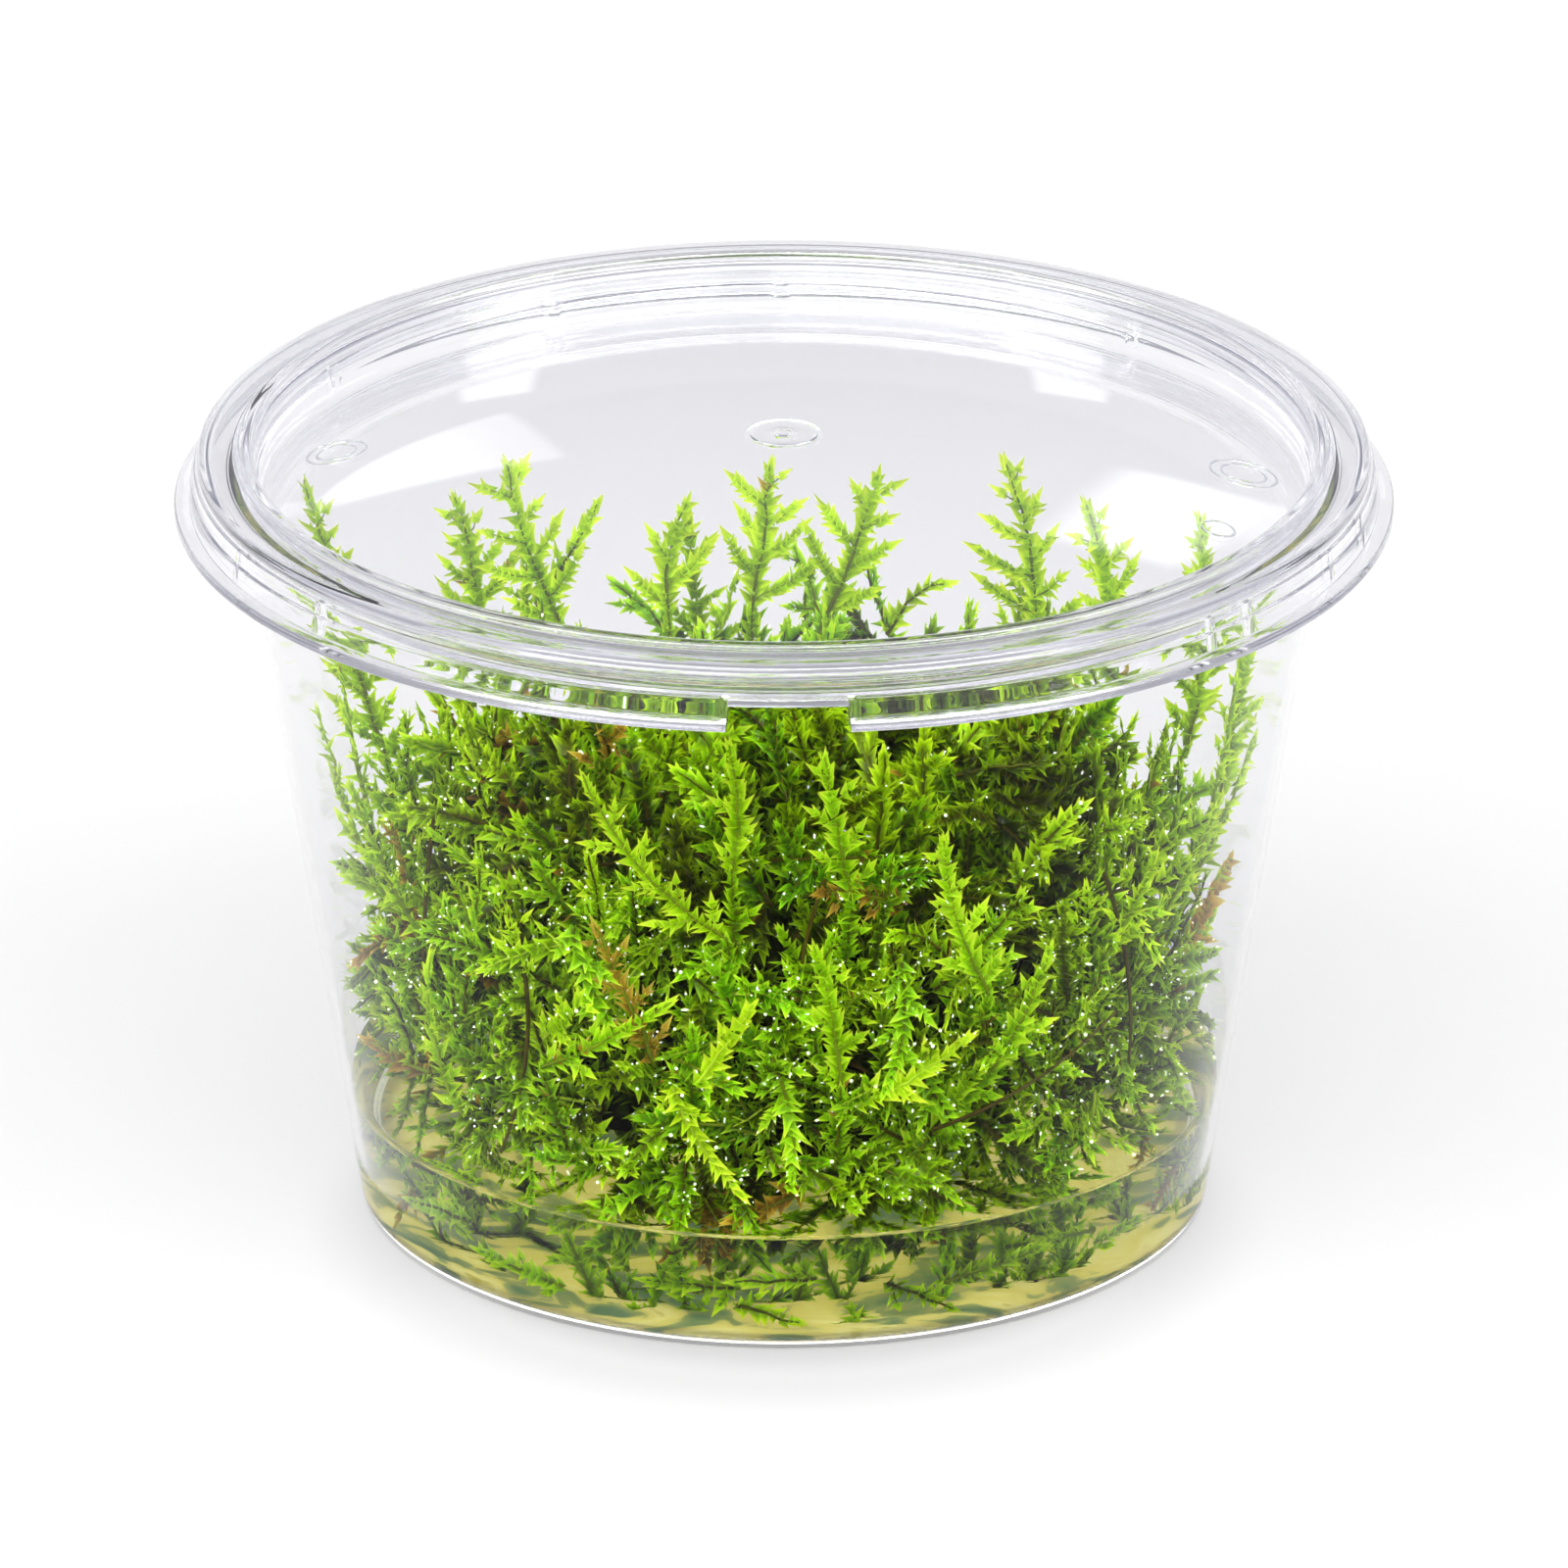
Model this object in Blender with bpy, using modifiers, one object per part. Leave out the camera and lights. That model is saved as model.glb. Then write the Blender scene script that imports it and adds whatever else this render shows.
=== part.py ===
"""Moss clump in a clear lidded cup, with a little liquid at the bottom.

All dimensions are in metres, +Z up. The origin is the middle of the cup's
flat base, so the object stands on z = 0. The notch in the lid's flange
faces -Y, which is the front.
"""

import math

import bmesh
import bpy
from mathutils import Vector

MM = 0.001

# ---------------------------------------------------------------- dimensions
GAP = 0.30 * MM            # clear space between neighbouring pieces
TURN_STEPS = 60            # facets round the cup and the lid

# Cup: a tapered tub with a flat base and a clip bead round its mouth.
BASE_FLAT_RADIUS = 34.5 * MM
BASE_CORNER_RADIUS = 35.2 * MM
BASE_CORNER_HEIGHT = 0.9 * MM
WALL_TOP_RADIUS = 44.7 * MM
WALL_TOP_HEIGHT = 61.4 * MM
WALL_THICKNESS = 0.75 * MM
FLOOR_THICKNESS = 0.90 * MM
BEAD_RADIUS = 47.10 * MM
BEAD_BOTTOM = 62.0 * MM
CUP_HEIGHT = 63.6 * MM

# Lid: domed window in a recess, stacking ridge, flat rim, skirt and flange.
DOME_CENTRE_HEIGHT = 66.6 * MM
DOME_EDGE_RADIUS = 42.0 * MM
DOME_EDGE_HEIGHT = 61.35 * MM
MOAT_RADIUS = 42.8 * MM
MOAT_HEIGHT = 61.2 * MM
LID_THICKNESS = 0.70 * MM
RIDGE_INNER_RADIUS = 43.6 * MM
RIDGE_OUTER_RADIUS = 44.8 * MM
RIDGE_HEIGHT = 65.85 * MM
RIM_HEIGHT = 65.35 * MM
RIM_RADIUS = 48.10 * MM
SKIRT_RADIUS = 48.60 * MM
FLANGE_RADIUS = 50.00 * MM
FLANGE_TOP = 61.15 * MM
FLANGE_BOTTOM = 60.30 * MM

# Tear notch in the flange, snap tabs in the recess and ribs on the skirt.
NOTCH_CENTRE_X = 0.35 * MM
NOTCH_WIDTH = 9.8 * MM
NOTCH_TOP = 62.2 * MM
TAB_ANGLES = (90.3, 116.8, 149.6, 47.7)      # degrees from +X, towards +Y
TAB_WIDTH = 1.4 * MM
TAB_BOTTOM = 62.1 * MM
TAB_TOP = 64.5 * MM
RIB_ANGLES = (-39.6, -24.0, -140.4, -156.0, -45.0, -14.0)
RIB_WIDTH = 0.8 * MM

# Liquid: a shallow layer, hollowed where the moss stands in it.
LIQUID_TOP = 9.9 * MM
POCKET_FLOOR = 3.6 * MM
POCKET_FLOOR_RADIUS = 26.5 * MM
POCKET_TOP_RADIUS = 30.6 * MM

# Moss mat: the matted middle of the clump, where the stems are tangled.
# It fills the cup nearly to the wall over the liquid and draws in above that.
MAT_BOTTOM = 4.0 * MM
MAT_TOP = 44.5 * MM
MAT_OUTLINE = (             # height, radius, in millimetres
    (4.0, 0.0), (4.5, 19.0), (6.0, 24.4), (8.4, 27.4), (11.6, 30.9), (15.5, 33.2),
    (24.3, 33.6), (28.8, 30.2), (33.0, 27.6), (36.9, 24.2), (40.1, 19.4),
    (42.5, 13.4), (44.0, 6.8), (44.5, 0.0),
)

# Free shoots, each with its tip clear of the mat, in millimetres:
# foot x, y, z / tip x, y, z / how far the middle bows out (x, y, z) /
# greatest half width / turn of the flat side from facing -Y, in degrees.
SHOOTS = {
    # a row that stands up over the middle, left to right
    "shoot_top_01": ((-33.0, 9.0, 34.0), (-39.6, 11.5, 57.6), (0.0, 0.0, 0.0), 2.4, 25),
    "shoot_top_02": ((-25.5, 19.5, 38.0), (-27.3, 20.5, 52.6), (0.8, 0.0, 0.0), 3.0, 12),
    "shoot_top_03": ((-18.5, 17.5, 42.6), (-22.9, 18.5, 56.4), (-0.6, 0.0, 0.0), 3.0, 5),
    "shoot_top_04": ((-9.6, 15.0, 44.6), (-8.0, 16.0, 53.9), (-0.6, 0.0, 0.0), 2.6, -6),
    "shoot_top_05": ((-2.6, 15.5, 45.0), (-1.2, 16.0, 57.2), (0.2, 0.0, 0.0), 3.4, 3),
    "shoot_top_06": ((3.6, 13.0, 45.3), (7.8, 13.5, 57.4), (0.3, 0.0, 0.0), 3.0, -4),
    "shoot_top_07": ((20.8, 14.5, 42.2), (18.2, 15.0, 58.0), (0.9, 0.0, 0.0), 3.0, 8),
    "shoot_top_08": ((27.2, 13.0, 39.0), (24.9, 14.0, 54.7), (0.8, 0.0, 0.0), 2.5, 10),
    "shoot_top_09": ((33.5, 12.5, 34.0), (34.4, 15.5, 52.8), (0.8, 0.0, 0.0), 2.2, -25),
    "shoot_top_10": ((36.0, 3.5, 33.0), (39.0, 7.5, 53.4), (0.3, 0.0, 0.0), 1.9, -45),
    # up the left side of the wall
    "shoot_left_01": ((-33.4, 1.0, 29.8), (-36.6, 3.4, 45.2), (-0.4, 0.0, 0.0), 2.3, 84),
    "shoot_left_02": ((-33.4, -7.5, 29.8), (-38.2, -4.5, 44.2), (-0.3, -0.3, 0.0), 2.2, 72),
    "shoot_left_03": ((-30.2, -15.8, 29.8), (-35.2, -13.2, 41.0), (-0.3, -0.2, 0.0), 2.1, 60),
    # up the right side of the wall
    "shoot_right_01": ((33.6, -2.5, 29.8), (37.2, -1.0, 45.6), (0.5, 0.0, 0.0), 2.3, -86),
    "shoot_right_02": ((33.0, -9.2, 29.8), (38.4, -8.5, 43.4), (0.2, -0.3, 0.0), 2.2, -72),
    "shoot_right_03": ((30.4, -15.6, 29.8), (35.4, -15.0, 40.4), (0.3, -0.2, 0.0), 2.1, -62),
    "shoot_right_04": ((26.0, -22.4, 29.8), (30.0, -23.6, 39.0), (0.3, -0.3, 0.0), 2.0, -48),
    # against the front of the mat
    "shoot_front_01": ((-4.6, -32.6, 35.4), (-16.2, -33.0, 50.0), (-1.0, -0.4, -1.0), 3.0, 10),
    "shoot_front_02": ((-4.2, -35.0, 42.2), (-4.4, -36.0, 53.8), (0.6, 0.0, 0.0), 1.5, 0),
    "shoot_front_03": ((5.4, -32.0, 38.6), (3.2, -33.0, 51.6), (0.0, -0.5, 0.0), 2.7, 0),
    "shoot_front_04": ((16.6, -30.4, 29.6), (12.9, -32.4, 44.0), (-0.8, -0.5, 0.0), 2.5, -16),
    "shoot_front_05": ((-19.6, -29.9, 23.0), (-8.9, -35.0, 31.0), (-0.4, -0.6, -0.4), 1.8, 26),
    "shoot_front_06": ((4.6, -35.7, 23.5), (2.4, -36.4, 36.4), (0.4, 0.0, 0.0), 2.0, 0),
    # up the back of the wall
    "shoot_back_01": ((-20.4, 28.8, 29.6), (-21.6, 31.0, 44.0), (-0.3, 0.4, 0.0), 2.6, -35),
    "shoot_back_02": ((-6.6, 33.6, 29.6), (-8.2, 36.0, 45.8), (0.0, 0.4, 0.0), 2.7, -11),
    "shoot_back_03": ((18.2, 29.6, 29.6), (20.4, 31.8, 44.0), (0.2, 0.4, 0.0), 2.7, 32),
}
SHOOT_HALF_THICKNESS = 0.75 * MM
SHOOT_RINGS = 6


# ------------------------------------------------------------------- helpers
def clear_scene():
    for old in list(bpy.data.objects):
        bpy.data.objects.remove(old, do_unlink=True)


def new_collection(name):
    made = bpy.data.collections.new(name)
    bpy.context.scene.collection.children.link(made)
    return made


def principled(name, colour, roughness, metallic=0.0, transmission=0.0, ior=1.5, alpha=1.0):
    made = bpy.data.materials.new(name)
    made.use_nodes = True
    shader = made.node_tree.nodes["Principled BSDF"]
    shader.inputs["Base Color"].default_value = (*colour, 1.0)
    shader.inputs["Roughness"].default_value = roughness
    shader.inputs["Metallic"].default_value = metallic
    shader.inputs["Transmission Weight"].default_value = transmission
    shader.inputs["IOR"].default_value = ior
    shader.inputs["Alpha"].default_value = alpha
    made.diffuse_color = (*colour, alpha)
    return made


def link_mesh(name, mesh, collection, material=None):
    made = bpy.data.objects.new(name, mesh)
    collection.objects.link(made)
    if material is not None:
        mesh.materials.append(material)
    return made


def turned(name, profile, steps, collection, material=None):
    """A solid of revolution about Z. The profile starts on the axis at the
    top, runs out and down the outer side, and comes back to the axis."""
    mesh = bpy.data.meshes.new(name)
    points = [(radius, 0.0, height) for radius, height in profile]
    mesh.from_pydata(points, [(i, i + 1) for i in range(len(points) - 1)], [])
    made = link_mesh(name, mesh, collection, material)
    screw = made.modifiers.new("turn", "SCREW")
    screw.axis = "Z"
    screw.angle = math.tau
    screw.steps = steps
    screw.render_steps = steps
    screw.use_merge_vertices = True
    screw.merge_threshold = 0.00001
    screw.use_smooth_shade = True
    return made


def shaded(made, angle=35.0):
    """Round faces smooth, real edges sharp."""
    for face in made.data.polygons:
        face.use_smooth = True
    if made.data.polygons:
        made.data.set_sharp_from_angle(angle=math.radians(angle))


def add_box(mesh_data, centre, size, turn=0.0):
    """One box in an open bmesh, turned about Z through its centre."""
    made = bmesh.ops.create_cube(mesh_data, size=1.0)["verts"]
    bmesh.ops.scale(mesh_data, vec=Vector(size), verts=made)
    spin = Vector((math.cos(turn), math.sin(turn), 0.0))
    across = Vector((-spin.y, spin.x, 0.0))
    for vert in made:
        local = vert.co.copy()
        vert.co = Vector(centre) + spin * local.x + across * local.y + Vector((0, 0, local.z))


def helper_object(name, mesh_data, collection):
    mesh = bpy.data.meshes.new(name)
    mesh_data.to_mesh(mesh)
    mesh_data.free()
    made = link_mesh(name, mesh, collection)
    made.hide_render = True
    made.display_type = "WIRE"
    return made


def boolean(target, other, operation):
    made = target.modifiers.new(other.name, "BOOLEAN")
    made.operation = operation
    made.solver = "EXACT"
    made.object = other


# ----------------------------------------------------------------- cup
def wall_radius(height):
    """Outer radius of the cup's straight taper at a height."""
    share = (height - BASE_CORNER_HEIGHT) / (WALL_TOP_HEIGHT - BASE_CORNER_HEIGHT)
    return BASE_CORNER_RADIUS + share * (WALL_TOP_RADIUS - BASE_CORNER_RADIUS)


def inner_radius(height):
    return wall_radius(height) - WALL_THICKNESS


def cup_profile():
    inside_floor = FLOOR_THICKNESS
    corner = 2.2 * MM
    points = [(0.0, inside_floor)]
    # inside corner between the floor and the wall
    foot = inner_radius(inside_floor + corner)
    for step in range(4):
        angle = math.radians(90.0 * step / 3)
        points.append((foot - corner * (1.0 - math.sin(angle)),
                       inside_floor + corner * (1.0 - math.cos(angle))))
    mouth = CUP_HEIGHT - 0.4 * MM
    points += [
        (inner_radius(WALL_TOP_HEIGHT), WALL_TOP_HEIGHT - 0.6 * MM),
        (inner_radius(WALL_TOP_HEIGHT) + 0.25 * MM, mouth),
        (inner_radius(WALL_TOP_HEIGHT) + 0.60 * MM, CUP_HEIGHT),
        (BEAD_RADIUS - 0.5 * MM, CUP_HEIGHT),
        (BEAD_RADIUS, CUP_HEIGHT - 0.5 * MM),
        (BEAD_RADIUS, BEAD_BOTTOM + 0.3 * MM),
        (BEAD_RADIUS - 0.6 * MM, BEAD_BOTTOM),
        (WALL_TOP_RADIUS + 0.25 * MM, WALL_TOP_HEIGHT),
        (wall_radius(WALL_TOP_HEIGHT - 0.8 * MM), WALL_TOP_HEIGHT - 0.8 * MM),
    ]
    # rounded outside corner down to the flat base
    rise, inset = BASE_CORNER_HEIGHT, BASE_CORNER_RADIUS - BASE_FLAT_RADIUS
    for step in range(4):
        angle = math.radians(90.0 * step / 3)
        points.append((BASE_CORNER_RADIUS - inset * (1.0 - math.cos(angle)),
                       rise * (1.0 - math.sin(angle))))
    points.append((0.0, 0.0))
    return points


# ----------------------------------------------------------------- lid
def lid_profile():
    # top face: a shallow domed window that runs down into a narrow moat
    top = []
    for share in (0.0, 0.3, 0.55, 0.8, 1.0):
        radius = share * DOME_EDGE_RADIUS
        top.append((radius, DOME_CENTRE_HEIGHT
                    - (DOME_CENTRE_HEIGHT - DOME_EDGE_HEIGHT) * share ** 2))
    top += [
        (MOAT_RADIUS, MOAT_HEIGHT),
        (MOAT_RADIUS + 0.25 * MM, MOAT_HEIGHT + 0.4 * MM),
        (RIDGE_INNER_RADIUS - 0.3 * MM, RIM_HEIGHT - 0.2 * MM),
        (RIDGE_INNER_RADIUS, RIDGE_HEIGHT),
        (RIDGE_OUTER_RADIUS, RIDGE_HEIGHT),
        (RIDGE_OUTER_RADIUS + 0.15 * MM, RIM_HEIGHT),
        (RIM_RADIUS, RIM_HEIGHT),
        (RIM_RADIUS + 0.25 * MM, RIM_HEIGHT - 0.5 * MM),
        (SKIRT_RADIUS, FLANGE_TOP),
        (FLANGE_RADIUS, FLANGE_TOP),
        (FLANGE_RADIUS, FLANGE_BOTTOM),
    ]
    # underside, back to the axis
    inside = LID_THICKNESS
    under = [
        (SKIRT_RADIUS - 0.95 * MM, FLANGE_BOTTOM),
        (RIM_RADIUS - 0.55 * MM, RIM_HEIGHT - inside - 0.2 * MM),
        (RIM_RADIUS - 0.80 * MM, RIM_HEIGHT - inside),
        (RIDGE_INNER_RADIUS + 0.45 * MM, RIM_HEIGHT - inside),
        (RIDGE_INNER_RADIUS + 0.02 * MM, RIM_HEIGHT - inside - 0.8 * MM),
        (MOAT_RADIUS + 0.62 * MM, MOAT_HEIGHT - inside + 0.3 * MM),
        (MOAT_RADIUS + 0.30 * MM, MOAT_HEIGHT - inside),
    ]
    for share in (0.995, 0.8, 0.55, 0.3, 0.0):
        radius = share * DOME_EDGE_RADIUS
        under.append((radius, DOME_CENTRE_HEIGHT - inside
                      - (DOME_CENTRE_HEIGHT - DOME_EDGE_HEIGHT) * share ** 2))
    return top + under


def lid_notch(collection):
    """Cuts the flange and the foot of the skirt open at the front."""
    shape = bmesh.new()
    depth = 4.0 * MM
    height = NOTCH_TOP - (FLANGE_BOTTOM - 1.0 * MM)
    outer = FLANGE_RADIUS + 1.0 * MM
    add_box(shape,
            (NOTCH_CENTRE_X, -(outer - depth / 2), NOTCH_TOP - height / 2),
            (NOTCH_WIDTH, depth - 0.75 * MM, height))
    return helper_object("cut_notch", shape, collection)


def lid_tabs(collection):
    """Small upright tabs on the recess wall and ribs on the skirt."""
    shape = bmesh.new()
    for degrees in TAB_ANGLES:
        angle = math.radians(degrees)
        reach = 1.0 * MM
        radius = MOAT_RADIUS + 0.45 * MM
        add_box(shape,
                (radius * math.cos(angle), radius * math.sin(angle), (TAB_BOTTOM + TAB_TOP) / 2),
                (reach, TAB_WIDTH, TAB_TOP - TAB_BOTTOM), angle)
    for degrees in RIB_ANGLES:
        angle = math.radians(degrees)
        radius = SKIRT_RADIUS - 0.05 * MM
        low, high = FLANGE_TOP - 0.4 * MM, RIM_HEIGHT - 0.9 * MM
        add_box(shape,
                (radius * math.cos(angle), radius * math.sin(angle), (low + high) / 2),
                (0.9 * MM, RIB_WIDTH, high - low), angle)
    return helper_object("add_tabs", shape, collection)


# ----------------------------------------------------------------- liquid
def liquid_profile():
    low = FLOOR_THICKNESS + GAP
    corner = 2.2 * MM
    outer_top = inner_radius(LIQUID_TOP) - GAP
    outer_low = inner_radius(low + corner) - GAP
    return [
        (0.0, POCKET_FLOOR),
        (POCKET_FLOOR_RADIUS, POCKET_FLOOR),
        (POCKET_TOP_RADIUS, LIQUID_TOP),
        (outer_top, LIQUID_TOP),
        (outer_low, low + corner),
        (outer_low - 0.35 * corner, low + 0.35 * corner),
        (outer_low - corner, low),
        (0.0, low),
    ]


# ----------------------------------------------------------------- moss
def mat_radius(height):
    """Radius of the tangled middle at a height, before its lumps."""
    height = min(max(height / MM, MAT_OUTLINE[0][0]), MAT_OUTLINE[-1][0])
    for (low, inner), (high, outer) in zip(MAT_OUTLINE, MAT_OUTLINE[1:]):
        if height <= high:
            return (inner + (outer - inner) * (height - low) / (high - low)) * MM
    return 0.0


def build_mat(collection, material):
    """A lumpy dome, narrower at its foot where it stands in the liquid."""
    shape = bmesh.new()
    bmesh.ops.create_uvsphere(shape, u_segments=26, v_segments=14, radius=1.0)
    for vert in shape.verts:
        polar = math.acos(max(-1.0, min(1.0, vert.co.z)))
        around = math.atan2(vert.co.y, vert.co.x)
        share = 0.5 * (1.0 - math.cos(math.pi - polar))
        height = MAT_BOTTOM + (MAT_TOP - MAT_BOTTOM) * share
        lumps = (1.0 + 0.014 * math.sin(5 * around + 9 * share)
                 + 0.010 * math.sin(9 * around - 7 * share))
        radius = mat_radius(height) * lumps
        vert.co = Vector((radius * math.cos(around), radius * math.sin(around), height))
    bmesh.ops.remove_doubles(shape, verts=shape.verts, dist=0.00001)
    bmesh.ops.recalc_face_normals(shape, faces=shape.faces)
    mesh = bpy.data.meshes.new("moss_mat")
    shape.to_mesh(mesh)
    shape.free()
    made = link_mesh("moss_mat", mesh, collection, material)
    shaded(made, 60)
    return made


def shoot_width(share):
    """Half width of a shoot along its length, as a share of the greatest."""
    return 0.22 + 0.78 * math.sin(math.pi * min(1.0, share * 1.25 + 0.1) ** 0.8) if share < 0.72 \
        else max(0.10, 1.9 * (1.0 - share))


def build_shoot(name, foot, tip, bow, half_width, turn, collection, material):
    """A flat, pointed frond: six-sided sections lofted along a bent midrib."""
    foot, tip, bow = (Vector(point) * MM for point in (foot, tip, bow))
    control = (foot + tip) / 2 + bow * 2
    facing = Vector((math.sin(math.radians(turn)) * -1.0, -math.cos(math.radians(turn)), 0.0))
    shape = bmesh.new()
    rings = []
    for index in range(SHOOT_RINGS):
        share = index / (SHOOT_RINGS - 1) * 0.985
        point = foot * (1 - share) ** 2 + control * 2 * share * (1 - share) + tip * share ** 2
        along = ((control - foot) * (1 - share) + (tip - control) * share).normalized()
        side = along.cross(facing).normalized()
        thick = side.cross(along).normalized()
        half = half_width * MM * max(0.12, shoot_width(share))
        depth = SHOOT_HALF_THICKNESS * (1.0 - 0.72 * share)
        ring = []
        for corner in range(6):
            angle = math.tau * corner / 6
            ring.append(shape.verts.new(
                point + side * half * math.cos(angle) + thick * depth * math.sin(angle)))
        rings.append(ring)
    for lower, upper in zip(rings, rings[1:]):
        for corner in range(6):
            other = (corner + 1) % 6
            shape.faces.new((lower[corner], lower[other], upper[other], upper[corner]))
    shape.faces.new(list(reversed(rings[0])))
    end = shape.verts.new(tip)
    for corner in range(6):
        shape.faces.new((rings[-1][corner], rings[-1][(corner + 1) % 6], end))
    bmesh.ops.recalc_face_normals(shape, faces=shape.faces)
    mesh = bpy.data.meshes.new(name)
    shape.to_mesh(mesh)
    shape.free()
    made = link_mesh(name, mesh, collection, material)
    shaded(made, 50)
    return made


# ----------------------------------------------------------------- assembly
def main():
    clear_scene()
    parts = new_collection("moss_clump_in_cup")
    cutters = new_collection("cutters")
    cutters.hide_render = True

    clear = principled("clear_plastic", (0.93, 0.94, 0.96), 0.04, transmission=0.9, ior=1.5)
    lid_clear = principled("lid_plastic", (0.92, 0.92, 0.97), 0.04, transmission=0.9, ior=1.5)
    liquid = principled("liquid", (0.80, 0.84, 0.55), 0.02, transmission=0.9, ior=1.333)
    mat_green = principled("moss_mat_green", (0.09, 0.22, 0.02), 0.6)
    shoot_green = principled("moss_shoot_green", (0.28, 0.52, 0.05), 0.5)

    turned("cup", cup_profile(), TURN_STEPS, parts, clear)

    lid = turned("lid", lid_profile(), TURN_STEPS, parts, lid_clear)
    boolean(lid, lid_tabs(cutters), "UNION")
    boolean(lid, lid_notch(cutters), "DIFFERENCE")

    turned("liquid", liquid_profile(), 40, parts, liquid)
    build_mat(parts, mat_green)
    for name, (foot, tip, bow, half_width, turn) in SHOOTS.items():
        build_shoot(name, foot, tip, bow, half_width, turn, parts, shoot_green)


main()
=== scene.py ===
"""Looks of a moss clump in a clear cup with a clear lid and a little liquid.

Metres, +Z up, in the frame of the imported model. The moss is grown here from
rules: every shoot is a bent stem with side branches and small pointed leaves.
"""
import math

import bmesh
import bpy
import numpy as np
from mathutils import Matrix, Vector


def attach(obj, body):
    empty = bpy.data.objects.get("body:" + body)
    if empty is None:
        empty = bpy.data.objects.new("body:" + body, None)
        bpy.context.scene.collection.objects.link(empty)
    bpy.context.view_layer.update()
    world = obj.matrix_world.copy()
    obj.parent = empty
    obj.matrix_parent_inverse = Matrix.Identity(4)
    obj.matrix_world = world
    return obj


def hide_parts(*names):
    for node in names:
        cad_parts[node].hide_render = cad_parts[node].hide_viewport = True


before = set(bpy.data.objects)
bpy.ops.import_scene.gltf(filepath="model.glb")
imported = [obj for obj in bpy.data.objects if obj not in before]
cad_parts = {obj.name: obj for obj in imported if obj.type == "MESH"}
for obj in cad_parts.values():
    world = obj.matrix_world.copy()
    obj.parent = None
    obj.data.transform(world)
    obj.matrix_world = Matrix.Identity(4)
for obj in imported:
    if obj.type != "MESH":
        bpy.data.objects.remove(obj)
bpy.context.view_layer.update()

MM = 0.001
scene = bpy.context.scene
rng = np.random.default_rng(20)

# ---------------------------------------------------------------- dimensions
BASE_CORNER_RADIUS, BASE_CORNER_HEIGHT = 35.2, 0.9      # millimetres from here on
WALL_TOP_RADIUS, WALL_TOP_HEIGHT, WALL = 44.7, 61.4, 0.75
FLOOR = 0.40
CORNER = 1.0                                            # inner corner between floor and wall
WATER = 9.9
NOTCH = (-4.55, 5.25, 62.2)                             # left, right, top


def wall_radius(height):
    share = (height - BASE_CORNER_HEIGHT) / (WALL_TOP_HEIGHT - BASE_CORNER_HEIGHT)
    return BASE_CORNER_RADIUS + share * (WALL_TOP_RADIUS - BASE_CORNER_RADIUS)


def inner_radius(height):
    return wall_radius(height) - WALL


# ---------------------------------------------------------------- mesh tools
def mesh_piece(name, points, faces, uv=None, smooth=True):
    """A mesh object from arrays: points in millimetres, faces as triangles."""
    mesh = bpy.data.meshes.new(name)
    mesh.vertices.add(len(points))
    mesh.vertices.foreach_set("co", (np.asarray(points) * MM).astype(np.float32).ravel())
    faces = np.asarray(faces, np.int32)
    mesh.loops.add(faces.size)
    mesh.loops.foreach_set("vertex_index", faces.ravel())
    mesh.polygons.add(len(faces))
    mesh.polygons.foreach_set("loop_start", np.arange(0, faces.size, 3, dtype=np.int32))
    mesh.polygons.foreach_set("use_smooth", np.full(len(faces), smooth))
    if uv is not None:
        layer = mesh.uv_layers.new(name="OFBake")
        layer.data.foreach_set("uv", np.asarray(uv, np.float32)[faces.ravel()].ravel())
    mesh.update(calc_edges=True)
    made = bpy.data.objects.new(name, mesh)
    scene.collection.objects.link(made)
    return made


def rounded(points, steps=4):
    """A profile of (radius, height, corner) with each corner cut back that far and rounded."""
    out = []
    for i, (r, z, cut) in enumerate(points):
        here = np.array((r, z))
        if cut <= 0 or i in (0, len(points) - 1):
            out.append(tuple(here))
            continue
        before = np.array(points[i - 1][:2]) - here
        after = np.array(points[i + 1][:2]) - here
        a = here + before / np.linalg.norm(before) * min(cut, np.linalg.norm(before) * 0.49)
        b = here + after / np.linalg.norm(after) * min(cut, np.linalg.norm(after) * 0.49)
        fine = 1 if cut < 0.06 else 2 if cut < 0.13 else steps
        for k in range(fine + 1):
            t = k / fine
            out.append(tuple(a * (1 - t) ** 2 + here * 2 * t * (1 - t) + b * t * t))
    return out


def turned(name, profile, angles, change=None, extra=()):
    """A closed solid of revolution. The profile runs from the axis to the axis, and
    change(profile, angle) may move its points, as an array, at one angle."""
    profile = np.array(profile, float)
    shape = bmesh.new()
    columns = []
    poles = {0: shape.verts.new((0, 0, profile[0, 1] * MM)),
             len(profile) - 1: shape.verts.new((0, 0, profile[-1, 1] * MM))}
    for a in angles:
        rows = profile if change is None else change(profile.copy(), a)
        columns.append([
            poles.get(k) or shape.verts.new((r * MM * math.cos(a), r * MM * math.sin(a), z * MM))
            for k, (r, z) in enumerate(rows)
        ])
    for one, two in zip(columns, columns[1:] + columns[:1]):
        for k in range(len(profile) - 1):
            corners = []
            for v in (one[k], one[k + 1], two[k + 1], two[k]):
                if v not in corners:
                    corners.append(v)
            shape.faces.new(corners)
    for ring in extra:
        ring_solid(shape, *ring)
    bmesh.ops.recalc_face_normals(shape, faces=shape.faces)
    mesh = bpy.data.meshes.new(name)
    shape.to_mesh(mesh)
    shape.free()
    made = bpy.data.objects.new(name, mesh)
    scene.collection.objects.link(made)
    return made


def even_angles(count, features=()):
    """Angles round the circle, with close pairs at the edges of each feature."""
    angles = [math.tau * k / count for k in range(count)]
    for edge in features:
        near = math.radians(0.05)
        angles = [a for a in angles if abs(a - edge) > math.radians(0.12)]
        angles += [edge - near, edge + near]
    return sorted(angles)


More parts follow.
